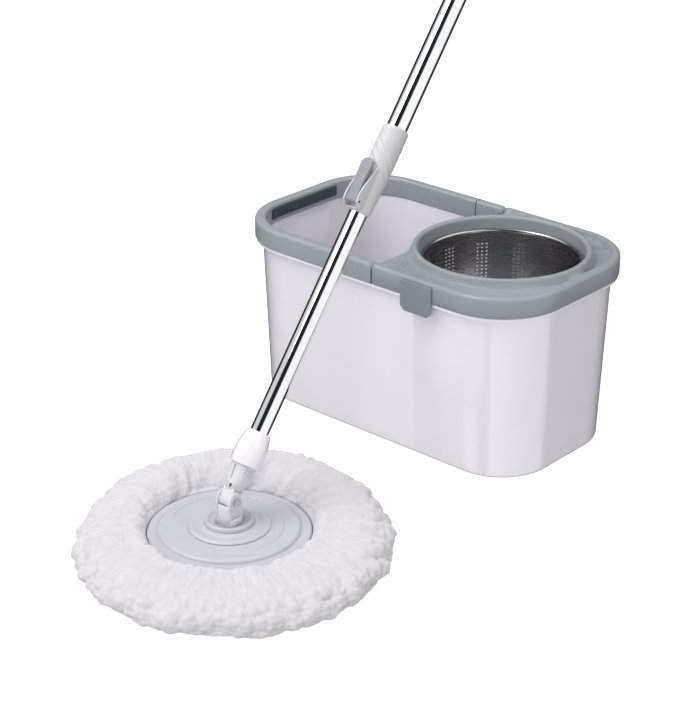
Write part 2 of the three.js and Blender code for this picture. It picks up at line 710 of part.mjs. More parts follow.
const wringer = addGroup(part, 'wringer', WRINGER_X, 0, 0);
addMesh(wringer, 'spindle_base', buildSpindleBase(), innerWhite);
addMesh(wringer, 'spindle', rod(SPINDLE.radius, SPINDLE.bottom, SPINDLE.top, 24), stainless);
addMesh(wringer, 'bearing_sleeve', buildBearing(), gripGrey);
addMesh(wringer, 'basket', buildBasket(), stainless);
addMesh(wringer, 'basket_rim', buildBasketRim(), stainless);
addMesh(wringer, 'basket_hub', buildHub(), rimGrey);
addMesh(wringer, 'hub_clamp', ring(22 + GAP, 30, BASKET.floor - 5, BASKET.floor - GAP, 36), rimGrey);

const head = addGroup(part, 'mop_head', HEAD.x, HEAD.y, 0);
addMesh(head, 'fringe', buildFringe(), microfibre);
addMesh(head, 'refill_ring', ring(62, 84, HEAD.plateUnder - 2.6, HEAD.plateUnder - GAP, 36), innerWhite);
addMesh(head, 'mop_plate', buildMopPlate(), plateGrey);
addMesh(head, 'boss_cover', buildBossCover(), plateGrey);
addMesh(head, 'hub_ring', buildHubRing(), plateGrey);
addMesh(head, 'hub_fork', buildFork(), plateGrey);
addMesh(head, 'knuckle_pin', buildKnucklePin(), stainless);

const pole = addGroup(head, 'pole', 0, 0, KNUCKLE.z);
pole.rotation.x = -LEAN;
addMesh(pole, 'knuckle_neck', buildNeck(), sleeveWhite);
addMesh(pole, 'bell_socket', buildBell(), pearlWhite);
addMesh(pole, 'lower_tube', buildLowerTube(), chrome);
addMesh(pole, 'tube_plug', buildTubePlug(), innerWhite);
addMesh(pole, 'clutch_ring', buildClutchRing(), innerWhite);
addMesh(pole, 'drive_nut', buildDriveNut(), brass);
addMesh(pole, 'twist_rod', buildTwistRod(), stainless);
addMesh(pole, 'rod_anchor', buildRodAnchor(), innerWhite);
addMesh(pole, 'upper_tube', buildUpperTube(), chrome);
addMesh(pole, 'lock_sleeve', buildSleeve(), sleeveWhite);
addMesh(pole, 'lever_pin', buildLeverPin(), stainless);
addMesh(pole, 'lock_lever', buildLever(), leverGrey);
addMesh(pole, 'pole_grip', buildGrip(), gripGrey);
addMesh(pole, 'end_cap', buildCap(), rimGrey);

export default part;
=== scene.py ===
"""Looks of the spin mop set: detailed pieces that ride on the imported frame. Metres, +Z up."""
import json
import math

import bmesh
import bpy
from mathutils import Matrix, Vector, noise


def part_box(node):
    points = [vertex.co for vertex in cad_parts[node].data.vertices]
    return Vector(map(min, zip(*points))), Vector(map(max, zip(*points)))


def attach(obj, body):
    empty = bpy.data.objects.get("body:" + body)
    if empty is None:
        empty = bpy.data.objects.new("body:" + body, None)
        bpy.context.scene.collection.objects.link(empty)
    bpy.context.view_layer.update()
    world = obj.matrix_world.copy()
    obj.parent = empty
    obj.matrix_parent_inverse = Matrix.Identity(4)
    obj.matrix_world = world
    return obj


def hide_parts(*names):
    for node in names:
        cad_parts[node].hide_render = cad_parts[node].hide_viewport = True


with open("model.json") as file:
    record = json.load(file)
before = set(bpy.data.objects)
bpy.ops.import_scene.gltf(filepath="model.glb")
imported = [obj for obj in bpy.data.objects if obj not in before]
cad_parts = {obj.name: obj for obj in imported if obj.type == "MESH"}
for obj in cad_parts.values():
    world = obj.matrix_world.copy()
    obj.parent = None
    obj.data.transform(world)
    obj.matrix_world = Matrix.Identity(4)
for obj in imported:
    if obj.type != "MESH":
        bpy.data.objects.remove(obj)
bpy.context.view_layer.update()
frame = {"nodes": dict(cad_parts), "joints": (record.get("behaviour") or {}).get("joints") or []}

MM = 0.001
TURN = 2 * math.pi
JOINTS = {joint["name"]: joint for joint in frame["joints"]}


# ------------------------------------------------------------------ sizes, most from the frame

def middle(node):
    """The middle of a node's box."""
    low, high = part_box(node)
    return (low + high) / 2


handle_low, handle_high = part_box("carry_handle")
basket_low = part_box("basket")[0]
rim_low, rim_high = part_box("basket_rim")
plate_low, plate_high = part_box("mop_plate")

RIM_HALF_LENGTH = -handle_low.x
RIM_HALF_WIDTH = handle_high.y
RIM_RADIUS = 87 * MM
RIM_TOP = handle_high.z
RIM_BOTTOM = handle_low.z
RIM_WIDTH = 14 * MM
RIM_WALL = 2.5 * MM
COLLAR_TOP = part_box("wringer_cover")[1].z
PIVOT = Vector(JOINTS["handle_swing"]["pos_m"])
NOSE = RIM_TOP - PIVOT.z
COVER_LEFT = PIVOT.x + NOSE + 1.5 * MM
WRINGER = Vector((middle("basket").x, middle("basket").y, 0))
COLLAR_INNER = 102.4 * MM
HEAD = Vector((middle("mop_plate").x, middle("mop_plate").y, 0))
PLATE_RADIUS = (plate_high.x - plate_low.x) / 2
KNUCKLE = Vector(JOINTS["pole_tilt"]["pos_m"])
POLE_AXIS = Vector(JOINTS["pole_press"]["axis"]).normalized()
LEAN = math.atan2(POLE_AXIS.y, POLE_AXIS.z)
POLE_FRAME = Matrix.Translation(KNUCKLE) @ Matrix.Rotation(-LEAN, 4, "X")
HINGE = POLE_FRAME.inverted() @ Vector(JOINTS["lever_open"]["pos_m"]) / MM
# turns an outline drawn flat into one drawn with Y across and Z up, extruded along X
SIDEWAYS = Matrix(((0, 0, 1, 0), (1, 0, 0, 0), (0, 1, 0, 0), (0, 0, 0, 1)))


def stations_of(node):
    """Where a node starts and ends along the pole, in mm from the knuckle's pin."""
    stations = [(Vector(v.co) - KNUCKLE).dot(POLE_AXIS) / MM for v in frame["nodes"][node].data.vertices]
    return min(stations), max(stations)


# ------------------------------------------------------------------ mesh building

def new_object(name, vertices, faces, material, body, slot, replaces=(), smooth=True):
    """One finished piece that rides on a body, and replaces nodes if it stands for any."""
    mesh = bpy.data.meshes.new(name)
    mesh.from_pydata([tuple(v) for v in vertices], [], faces)
    mesh.validate()
    bm = bmesh.new()
    bm.from_mesh(mesh)
    bmesh.ops.remove_doubles(bm, verts=bm.verts, dist=1e-6)
    bmesh.ops.recalc_face_normals(bm, faces=bm.faces)
    bm.to_mesh(mesh)
    bm.free()
    if smooth:
        mesh.shade_smooth()
    mesh.materials.append(material)
    obj = bpy.data.objects.new(name, mesh)
    bpy.context.scene.collection.objects.link(obj)
    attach(obj, body)
    if replaces:
        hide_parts(*replaces)
    return obj


def grid_faces(rows, columns, close_rows=False, close_columns=True):
    """Quads over a grid of rows x columns points, wrapped where asked."""
    faces = []
    for i in range(rows if close_rows else rows - 1):
        for j in range(columns if close_columns else columns - 1):
            a = i * columns + j
            b = i * columns + (j + 1) % columns
            c = ((i + 1) % rows) * columns + (j + 1) % columns
            d = ((i + 1) % rows) * columns + j
            faces.append((a, b, c, d))
    return faces


def rounded(profile, steps=4):
    """A closed (r, z) outline in mm with each corner (r, z, radius) turned into an arc."""
    nearly_straight = 1.55
    points = []
    for i, (x, y, radius) in enumerate(profile):
        here = Vector((x, y))
        before = Vector(profile[i - 1][:2]) - here
        after = Vector(profile[(i + 1) % len(profile)][:2]) - here
        if radius <= 0 or before.length < 1e-6 or after.length < 1e-6:
            points.append(here)
            continue
        half = before.angle(after) / 2
        if half > nearly_straight:
            points.append(here)
            continue
        cut_back = min(radius / math.tan(half), 0.49 * before.length, 0.49 * after.length)
        start = here + before.normalized() * cut_back
        end = here + after.normalized() * cut_back
        for k in range(steps + 1):
            t = k / steps
            points.append(start * (1 - t) ** 2 + here * 2 * t * (1 - t) + end * t ** 2)
    return points


def arc(radius, first, last, parts, x=0.0, y=0.0):
    """Points in mm along an arc about (x, y), between two angles in radians."""
    angles = [first + (last - first) * k / parts for k in range(parts + 1)]
    return [(x + radius * math.cos(a), y + radius * math.sin(a)) for a in angles]


def circle(radius, parts, x=0.0, y=0.0):
    """Points in mm round a circle about (x, y)."""
    return arc(radius, 0.0, TURN, parts, x, y)[:-1]


def add_part(vertices, faces, part):
    """Adds one more part, as its own vertices and faces, to a mesh in the making."""
    more, more_faces = part
    shift = len(vertices)
    vertices.extend(more)
    faces.extend(tuple(i + shift for i in face) for face in more_faces)


def turned(profile, segments=96, at=Matrix.Identity(4)):
    """Vertices and faces of a lathe about +Z; the profile is a closed loop of (r, z) in mm."""
    vertices = []
    for k in range(segments):
        angle = TURN * k / segments
        for point in profile:
            r = max(point[0], 0.0) * MM
            vertices.append(at @ Vector((r * math.cos(angle), r * math.sin(angle), point[1] * MM)))
    return vertices, grid_faces(segments, len(profile), close_rows=True)


def turned_object(name, profile, material, body, slot, replaces=(), segments=96, at=Matrix.Identity(4)):
    vertices, faces = turned(profile, segments, at)
    return new_object(name, vertices, faces, material, body, slot, replaces)


def extruded(outline, depth, at):
    """A closed prism: outline is (x, y) in mm in the plane of `at`, from 0 to depth mm along its z."""
    count = len(outline)
    vertices = [at @ Vector((x * MM, y * MM, 0)) for x, y in outline]
    vertices += [at @ Vector((x * MM, y * MM, depth * MM)) for x, y in outline]
    faces = [tuple(range(count))[::-1], tuple(range(count, 2 * count))]
    faces += [(i, (i + 1) % count, count + (i + 1) % count, count + i) for i in range(count)]
    return vertices, faces


def crosswise(outline, start, end, at=POLE_FRAME):
    """A prism along X from start to end mm; its outline is (y, z) in mm in the frame `at`."""
    return extruded(outline, end - start, at @ Matrix.Translation((start * MM, 0, 0)) @ SIDEWAYS)


def baked(obj):
    """Applies the object's modifiers to its mesh."""
    depsgraph = bpy.context.evaluated_depsgraph_get()
    mesh = bpy.data.meshes.new_from_object(obj.evaluated_get(depsgraph))
    obj.modifiers.clear()
    obj.data = mesh
    return obj


def sharpened(obj, degrees):
    """Smooth shading, with the edges above an angle kept sharp."""
    obj.data.shade_smooth()
    obj.data.set_sharp_from_angle(angle=math.radians(degrees))
    return obj


def bevelled(obj, width, segments=3, angle=35):
    """Rounds the edges sharper than an angle; the width is in mm."""
    bevel = obj.modifiers.new("bevel", "BEVEL")
    bevel.width = width * MM
    bevel.segments = segments
    bevel.limit_method = "ANGLE"
    bevel.angle_limit = math.radians(angle)
    bevel.harden_normals = False
    baked(obj)
    return sharpened(obj, 40)


def cut(obj, vertices, faces, operation="DIFFERENCE"):
    """Takes a closed shape away from the object, or joins it on."""
    mesh = bpy.data.meshes.new("cutter")
    mesh.from_pydata([tuple(v) for v in vertices], [], faces)
    cutter = bpy.data.objects.new("cutter", mesh)
    bpy.context.scene.collection.objects.link(cutter)
    bm = bmesh.new()
    bm.from_mesh(mesh)
    bmesh.ops.recalc_face_normals(bm, faces=bm.faces)
    bm.to_mesh(mesh)
    bm.free()
    modifier = obj.modifiers.new("cut", "BOOLEAN")
    modifier.operation = operation
    modifier.object = cutter
    modifier.solver = "EXACT"
    baked(obj)
    bpy.data.objects.remove(cutter)
    return obj


def rounded_rectangle(half_length, half_width, radius, per_corner=20, extra=()):
    """Points and outward normals round a rounded rectangle, counter-clockwise from the +X end.

    extra lists x positions that each long side gets a point at."""
    points = []
    corners = [(1, 1, 0), (-1, 1, 1), (-1, -1, 2), (1, -1, 3)]
    for sx, sy, quarter in corners:
        centre = Vector((sx * (half_length - radius), sy * (half_width - radius), 0))
        for i in range(per_corner + 1):
            angle = (quarter + i / per_corner) * math.pi / 2
            normal = Vector((math.cos(angle), math.sin(angle), 0))
            points.append((centre + normal * radius, normal))
        if quarter in (0, 2):
            for x in sorted(extra, reverse=quarter == 0):
                points.append((Vector((x, sy * half_width, 0)), Vector((0, sy, 0))))
    return points


# ------------------------------------------------------------------ materials

def shader(name):
    """A new material with its nodes, its links and its main shader."""
    material = bpy.data.materials.new(name)
    material.use_nodes = True
    nodes = material.node_tree.nodes
    return material, nodes, material.node_tree.links, nodes["Principled BSDF"]


def noise_node(nodes, links, scale, detail=4.0, roughness=0.55, stretch=None):
    """A noise texture in object space, stretched along an axis if asked."""
    coordinates = nodes.new("ShaderNodeTexCoord")
    texture = nodes.new("ShaderNodeTexNoise")
    texture.inputs["Scale"].default_value = scale
    texture.inputs["Detail"].default_value = detail
    texture.inputs["Roughness"].default_value = roughness
    source = coordinates.outputs["Object"]
    if stretch is not None:
        mapping = nodes.new("ShaderNodeMapping")
        mapping.inputs["Scale"].default_value = stretch[0]
        mapping.inputs["Rotation"].default_value = stretch[1]
        links.new(source, mapping.inputs["Vector"])
        source = mapping.outputs["Vector"]
    links.new(source, texture.inputs["Vector"])
    return texture


def ramp_node(nodes, links, source, low, high, low_at=0.3, high_at=0.7):
    """Two colours blended over the middle of a 0 to 1 value."""
    ramp = nodes.new("ShaderNodeValToRGB")
    for element, color, place in zip(ramp.color_ramp.elements, (low, high), (low_at, high_at)):
        element.position = place
        element.color = (*color, 1)
    links.new(source, ramp.inputs["Fac"])
    return ramp


def bump_normal(nodes, links, source, strength, distance):
    """A bump of a height map; its output is the normal."""
    bump = nodes.new("ShaderNodeBump")
    bump.inputs["Strength"].default_value = strength
    bump.inputs["Distance"].default_value = distance
    links.new(source, bump.inputs["Height"])
    return bump.outputs["Normal"]


def grey(value):
    return (value, value, value)


def shade(color, factor):
    return tuple(min(1.0, c * factor) for c in color)


def srgb(hex_color):
    """Linear RGB of a six-digit display colour."""
    channels = [int(hex_color[i:i + 2], 16) / 255 for i in (0, 2, 4)]
    return tuple(c / 12.92 if c <= 0.04045 else ((c + 0.055) / 1.055) ** 2.4 for c in channels)


def moulded(name, color, roughness=0.35, grain=0.02, variation=0.05, coat=0.0, scatter=0.0):
    """Injection-moulded plastic: faint mottling, a fine grain and handling wear."""
    material, nodes, links, principled = shader(name)
    mottling = noise_node(nodes, links, 14.0)
    darker, lighter = shade(color, 1 - variation), shade(color, 1 + variation)
    tint = ramp_node(nodes, links, mottling.outputs["Fac"], darker, lighter)
    links.new(tint.outputs["Color"], principled.inputs["Base Color"])
    wear = noise_node(nodes, links, 60.0, detail=8.0)
    rough = ramp_node(nodes, links, wear.outputs["Fac"], grey(roughness * 0.85), grey(roughness * 1.2))
    links.new(rough.outputs["Color"], principled.inputs["Roughness"])
    fine = noise_node(nodes, links, 420.0, detail=2.0)
    normal = bump_normal(nodes, links, fine.outputs["Fac"], grain, 0.00012)
    links.new(normal, principled.inputs["Normal"])
    principled.inputs["IOR"].default_value = 1.5
    if coat:
        principled.inputs["Coat Weight"].default_value = coat
        principled.inputs["Coat Roughness"].default_value = 0.14
    if scatter:
        principled.inputs["Subsurface Weight"].default_value = scatter
        principled.inputs["Subsurface Radius"].default_value = (0.006, 0.006, 0.006)
        principled.inputs["Subsurface Scale"].default_value = 1.0
    return material


def polished(name, color, roughness, streak=0.04, along=(1, 1, 0.02), turn=(0, 0, 0)):
    """Metal with fine drawing lines along one direction."""
    material, nodes, links, principled = shader(name)
    principled.inputs["Metallic"].default_value = 1.0
    lines = noise_node(nodes, links, 900.0, detail=3.0, stretch=(along, turn))
    smudge = noise_node(nodes, links, 25.0, detail=5.0)
    tint = ramp_node(nodes, links, smudge.outputs["Fac"], shade(color, 0.95), color)
    links.new(tint.outputs["Color"], principled.inputs["Base Color"])
    smoother, rougher = grey(max(roughness - streak, 0.02)), grey(roughness + streak)
    rough = ramp_node(nodes, links, lines.outputs["Fac"], smoother, rougher)
    links.new(rough.outputs["Color"], principled.inputs["Roughness"])
    normal = bump_normal(nodes, links, lines.outputs["Fac"], streak, 0.0002)
    links.new(normal, principled.inputs["Normal"])
    return material


def microfibre(name, color):
    """Soft matte pile: fine clumps in the bump, sheen at grazing angles."""
    material, nodes, links, principled = shader(name)
    clumps = noise_node(nodes, links, 90.0, detail=6.0, roughness=0.65)
    tint = ramp_node(nodes, links, clumps.outputs["Fac"], shade(color, 0.93), shade(color, 1.04), 0.25, 0.75)
    links.new(tint.outputs["Color"], principled.inputs["Base Color"])
    pile = noise_node(nodes, links, 700.0, detail=6.0, roughness=0.7)
    normal = bump_normal(nodes, links, pile.outputs["Fac"], 0.45, 0.0015)
    links.new(normal, principled.inputs["Normal"])
    principled.inputs["Roughness"].default_value = 0.95
    principled.inputs["Specular IOR Level"].default_value = 0.2
    principled.inputs["Sheen Weight"].default_value = 0.25
    principled.inputs["Sheen Roughness"].default_value = 0.5
    principled.inputs["Subsurface Weight"].default_value = 0.35
    principled.inputs["Subsurface Radius"].default_value = (0.01, 0.01, 0.01)
    principled.inputs["Subsurface Scale"].default_value = 1.0
    return material


PEARL = moulded("pearl_white", srgb("efecf4"), roughness=0.2, grain=0.012, variation=0.012, coat=1.0)
INNER = moulded("inner_white", srgb("e2e2e6"), roughness=0.45, grain=0.03, variation=0.015)
RIM_GREY = moulded("rim_grey", srgb("949ca1"), roughness=0.3, grain=0.05, variation=0.03)
LATCH_GREY = moulded("latch_grey", srgb("848b93"), roughness=0.42, grain=0.06, variation=0.03)
COMB_DARK = moulded("comb_dark", srgb("474e54"), roughness=0.6, grain=0.1, variation=0.08)
LEVER_GREY = moulded("lever_grey", srgb("888c95"), roughness=0.4, grain=0.05, variation=0.03)
SLEEVE_WHITE = moulded("sleeve_white", srgb("c6c6c9"), roughness=0.4, grain=0.04, variation=0.02)
PLATE_GREY = moulded("plate_grey", srgb("c2c2c8"), roughness=0.3, grain=0.04, variation=0.02)
NECK_WHITE = moulded("neck_white", srgb("d8d8dc"), roughness=0.3, grain=0.02, variation=0.03, scatter=0.4)
GRIP_GREY = moulded("grip_grey", srgb("6f777e"), roughness=0.7, grain=0.25, variation=0.05)
CHROME = polished("chrome", (0.82, 0.83, 0.85), 0.07, streak=0.02, turn=(LEAN, 0, 0))
STAINLESS = polished("stainless", (0.6, 0.59, 0.6), 0.24, streak=0.08, along=(0.05, 0.05, 1))
STEEL = polished("steel", (0.62, 0.62, 0.63), 0.2, streak=0.05)
BRASS = polished("brass", (0.72, 0.52, 0.22), 0.3)
FIBRE = microfibre("microfibre", srgb("d2d0d4"))

NODE_MATERIALS = {
    "pivot_pin_front": RIM_GREY, "pivot_pin_back": RIM_GREY, "spindle": STEEL, "twist_rod": STEEL,
    "spindle_base": INNER, "bearing_sleeve": GRIP_GREY, "hub_clamp": RIM_GREY, "refill_ring": INNER,
    "knuckle_pin": STEEL, "tube_plug": INNER, "clutch_ring": INNER, "drive_nut": BRASS,
    "rod_anchor": INNER, "lever_pin": STEEL,
}
for node, node_material in NODE_MATERIALS.items():
    mesh_data = frame["nodes"][node].data
    mesh_data.materials.clear()
    mesh_data.materials.append(node_material)


# ------------------------------------------------------------------ tub

def make_tub():
    """The tub, drawn level by level from its foot up the outside and back down the inside.

    Each outline is a half length, a half width and a corner radius in mm."""
    foot = (217, 113.5, 72)
    top = (222, 125.5, 80)
    wall = 2.5
    foot_round = 5
    flange_under, flange_top, lip = (RIM_BOTTOM / MM - 4.5, RIM_BOTTOM / MM - 1, RIM_TOP / MM - 3.5)
    rim = (RIM_HALF_LENGTH / MM, RIM_HALF_WIDTH / MM, RIM_RADIUS / MM)

    def wall_at(z, inset):
        t = (z - 4) / (flange_top - 4)
        return tuple(a + (b - a) * max(t, 0) - inset for a, b in zip(foot, top))

    def rim_at(inset):
        return tuple(a - inset for a in rim)

    # (outline, height, whether the groove runs through it)
    levels = [(wall_at(0, foot_round), 0, 0)]
    for degrees in range(15, 91, 15):
        inset = foot_round - foot_round * math.sin(math.radians(degrees))
        levels.append((wall_at(0, inset), foot_round - foot_round * math.cos(math.radians(degrees)), 0))
    for z in (8, 10, 14, 60, 110, 160, 200, 205, 208):
        levels.append((wall_at(z, 0), z, 1 if 10 <= z <= 205 else 0))
    levels += [
        (wall_at(flange_under - 3, 0), flange_under - 3, 0),
        (wall_at(flange_under - 0.6, -0.8), flange_under - 0.6, 0),
        (wall_at(flange_under, -2.2), flange_under, 0),
        (rim_at(1.9), flange_under, 0), (rim_at(1.5), flange_under + 0.4, 0),
        (rim_at(1.5), flange_top - 0.4, 0), (rim_at(1.9), flange_top, 0),
        (rim_at(5.5), flange_top, 0), (rim_at(5.5), lip - 0.6, 0), (rim_at(6.1), lip, 0),
        (rim_at(7.9), lip, 0), (rim_at(8.5), lip - 0.6, 0), (rim_at(8.5), flange_top + 1.5, 0),
        (wall_at(flange_top, wall), flange_top - 1, 0), (wall_at(160, wall), 160, 0),
        (wall_at(60, wall), 60, 0), (wall_at(12, wall), 12, 0), (wall_at(6, wall + 1.5), 6, 0),
        (wall_at(3, wall + 5), 3.4, 0), (wall_at(3, wall + 9), 3, 0),
    ]
    groove_steps = [-2.4, -1.4, -0.7, 0, 0.7, 1.4, 2.4]
    groove_depth = [0, 0.1, 0.9, 1.1, 0.9, 0.1, 0]
    panel_steps = [-3, 0, 3]
    vertices = []
    for (half_length, half_width, radius), z, grooved in levels:
        seam = 67.4 + 5.6 * z / 200
        panel = seam + 45
        xs = [seam + s for s in groove_steps] + [panel + s for s in panel_steps]
        ring = rounded_rectangle(half_length, half_width, radius, 24, xs)
        for point, normal in ring:
            depth = 0.0
            if grooved and abs(normal.x) < 1e-9:
                away = point.x - seam
                if abs(away) <= 2.4 + 1e-6:
                    nearest = min(groove_steps, key=lambda groove_step: abs(groove_step - away))
                    depth = groove_depth[groove_steps.index(nearest)]
                elif abs(point.x - panel) < 1e-6 and 14 <= z <= 160:
                    depth = -0.35
            point = point - normal * depth
            vertices.append(Vector((point.x * MM, point.y * MM, z * MM)))
    columns = len(vertices) // len(levels)
    faces = grid_faces(len(levels), columns)
    faces.append(tuple(range(columns))[::-1])
    last = (len(levels) - 1) * columns
    faces.append(tuple(range(last, last + columns)))
    tub = new_object("tub_shell", vertices, faces, PEARL, "bucket", "pearl_white", ["tub"])
    # the lip is cut back beside each pivot, where the handle's rounded end turns
    x0, x1 = PIVOT.x / MM - 2.3, COVER_LEFT / MM - 0.5
    for side in (-1, 1):
        y = side * (RIM_HALF_WIDTH / MM - 7)
        block = [(x0, y - 4), (x1, y - 4), (x1, y + 4), (x0, y + 4)]
        cut(tub, *extruded(block, 40, Matrix.Translation((0, 0, flange_top * MM))))
        # a boss for the pivot pin, and the hole through it
        upright = Matrix.Rotation(math.pi / 2, 4, "X")
        for outline, start, depth, operation in ((circle(4.6, 32), y + 1.5, 3, "UNION"),
                                                 (circle(2.8, 24), y + 3.5, 7, "DIFFERENCE")):
            at = Matrix.Translation((PIVOT.x, start * MM, PIVOT.z)) @ upright
            cut(tub, *extruded(outline, depth, at), operation)
    return sharpened(tub, 38)


# ------------------------------------------------------------------ carry handle

def rim_section():
    """The grey rim's section: (distance in from the outside, height) in mm, a channel open below."""
    top, low = RIM_TOP / MM, RIM_BOTTOM / MM
    width, wall = RIM_WIDTH / MM, RIM_WALL / MM
    corners = [
        (0, low, 0.6), (0, top, 5.0), (width, top, 3.5), (width, low, 0.6),
        (width - wall, low, 0.6), (width - wall, top - wall, 1.0), (wall, top - wall, 1.5),
        (wall, low, 0.6),
    ]
    return rounded(corners, steps=5)


def rim_stations(first, last, per_corner=28):
    """Outline points and normals of the rim between two x limits, as one open run."""
    half_length, half_width, radius = RIM_HALF_LENGTH / MM, RIM_HALF_WIDTH / MM, RIM_RADIUS / MM
    ring = rounded_rectangle(half_length, half_width, radius, per_corner)
    return [(p, n) for p, n in ring if first <= p.x <= last]


def make_handle():
    """The rim's left half: a channel, square at the foot of its ends and rounded about the pivots."""
    section = rim_section()
    pivot_x, pivot_z = PIVOT.x / MM, PIVOT.z / MM
    half_width = RIM_HALF_WIDTH / MM
    bottom, top, nose = RIM_BOTTOM / MM, RIM_TOP / MM, NOSE / MM
    flange_room = pivot_z - bottom + 0.7
    straight = [(pivot_x - away, 0.0) for away in (110, 60, 20, 0)]
    steps = 10
    end = [(pivot_x + nose * math.sin(math.pi / 2 * k / steps), nose * math.sin(math.pi / 2 * k / steps))
           for k in range(1, steps + 1)]
    run = [(Vector((x, half_width, 0)), Vector((0, 1, 0)), past) for x, past in reversed(straight + end)]
    run += [(point, normal, 0.0) for point, normal in rim_stations(-1000, pivot_x - 110)]
    run += [(Vector((x, -half_width, 0)), Vector((0, -1, 0)), past) for x, past in straight + end]
    vertices = []
    for point, normal, past in run:
        ceiling = pivot_z + math.sqrt(max(nose ** 2 - past ** 2, 0.0))
        floor = max(bottom, pivot_z - math.sqrt(flange_room ** 2 - past ** 2))
        for inward, height in section:
            spot = point - normal * inward
            level = floor + (height - bottom) / (top - bottom) * (ceiling - floor)
            vertices.append(Vector((spot.x, spot.y, level)) * MM)
    count = len(section)
    faces = grid_faces(len(run), count)
    faces.append(tuple(range(count)))
    faces.append(tuple(range((len(run) - 1) * count, len(run) * count))[::-1])
    handle = new_object("handle_rim", vertices, faces, RIM_GREY, "carry_handle", "rim_grey", ["carry_handle"])
    slit_x, slit, depth = -30.0, 2.0, 1.9
    width = RIM_WIDTH / MM
    for y0, y1, z0, z1 in ((half_width - width - 1, half_width + 1, top - depth, top + 1),
                           (half_width - width - 1, half_width - width + depth, bottom - 1, top + 1),
                           (half_width - depth, half_width + 1, bottom - 1, top + 1)):
        block = [(slit_x, y0), (slit_x + slit, y0), (slit_x + slit, y1), (slit_x, y1)]
        cut(handle, *extruded(block, z1 - z0, Matrix.Translation((0, 0, z0 * MM))))
    return sharpened(handle, 45)


def make_comb():
    """Dark teeth in a recess inside the handle's end."""
    half_length, half_width, radius = RIM_HALF_LENGTH / MM, RIM_HALF_WIDTH / MM, RIM_RADIUS / MM
    inset = RIM_WIDTH / MM + 0.3
    low, high = RIM_BOTTOM / MM + 6, RIM_TOP / MM - 5
    straight = half_width - radius
    inner = radius - inset
    first, last = -70.0, 56.0
    teeth = 34

    def spot(s, depth):
        """The point s mm along the inside of the handle's end, from its middle, depth mm in."""
        if abs(s) <= straight:
            return Vector((-half_length + inset + depth, s, 0))
        angle = (abs(s) - straight) / inner
        sign = 1 if s > 0 else -1
        centre = Vector((-half_length + radius, sign * straight, 0))
        reach = inner - depth
        return centre + Vector((-math.cos(angle), sign * math.sin(angle), 0)) * reach

    vertices, faces = [], []

    def add_box(s0, s1, d0, d1, z0, z1):
        base = len(vertices)
        for s in (s0, s1):
            for d, z in ((d0, z0), (d1, z0), (d1, z1), (d0, z1)):
                p = spot(s, d)
                vertices.append(Vector((p.x, p.y, z)) * MM)
        faces.extend([(base + 3, base + 2, base + 1, base), (base + 4, base + 5, base + 6, base + 7)])
        for i in range(4):
            j = (i + 1) % 4
            faces.append((base + i, base + j, base + 4 + j, base + 4 + i))

    pitch = (last - first) / teeth
    for i in range(teeth):
        s = first + i * pitch
        add_box(s, s + pitch, 0, 0.8, low, high)
        add_box(s + 0.25 * pitch, s + 0.8 * pitch, 0.7, 2.6, low + 0.6, high - 0.6)
    return new_object("handle_comb", vertices, faces, COMB_DARK, "carry_handle", "comb_dark", ["grip_comb"],
                      smooth=False)


# ------------------------------------------------------------------ wringer cover

def smooth_min(a, b, k):
    """The smaller of two values, blended where they are less than k apart."""
    h = max(k - abs(a - b), 0.0) / k
    return min(a, b) - h * h * k * 0.25


def rim_reach(angle):
    """How far the ray from the wringer's middle goes before it leaves the rim's outline, in mm."""
    half_length, half_width, radius = RIM_HALF_LENGTH / MM, RIM_HALF_WIDTH / MM, RIM_RADIUS / MM
    low, high = 0.0, 600.0
    for _ in range(40):
        reach = (low + high) / 2
        x = abs(WRINGER.x / MM + reach * math.cos(angle)) - (half_length - radius)
        y = abs(reach * math.sin(angle)) - (half_width - radius)
        away = math.hypot(max(x, 0), max(y, 0)) + min(max(x, y), 0) - radius
        low, high = (reach, high) if away < 0 else (low, reach)
    return low


def depth_inside(x, y):
    """How far in from the rim's outline a point of the plan lies, in mm."""
    radius = RIM_RADIUS / MM
    dx = abs(x) - (RIM_HALF_LENGTH / MM - radius)
    dy = abs(y) - (RIM_HALF_WIDTH / MM - radius)
    return radius - math.hypot(max(dx, 0), max(dy, 0)) - min(max(dx, dy), 0)


def ease(t):
    """0 below 0, 1 above 1 and smooth between."""
    t = max(0.0, min(1.0, t))
    return t * t * (3 - 2 * t)


def deck_height(x, y):
    """The cover's upper surface outside the collar: a raised ridge along the rim, a lower deck inside it."""
    sunk = 2.0 + 3.8 * ease((y + 70) / 110)
    ridge = 1 - ease((depth_inside(x, y) - 9.5) / 2.6)
    return RIM_TOP / MM - sunk * (1 - ridge)


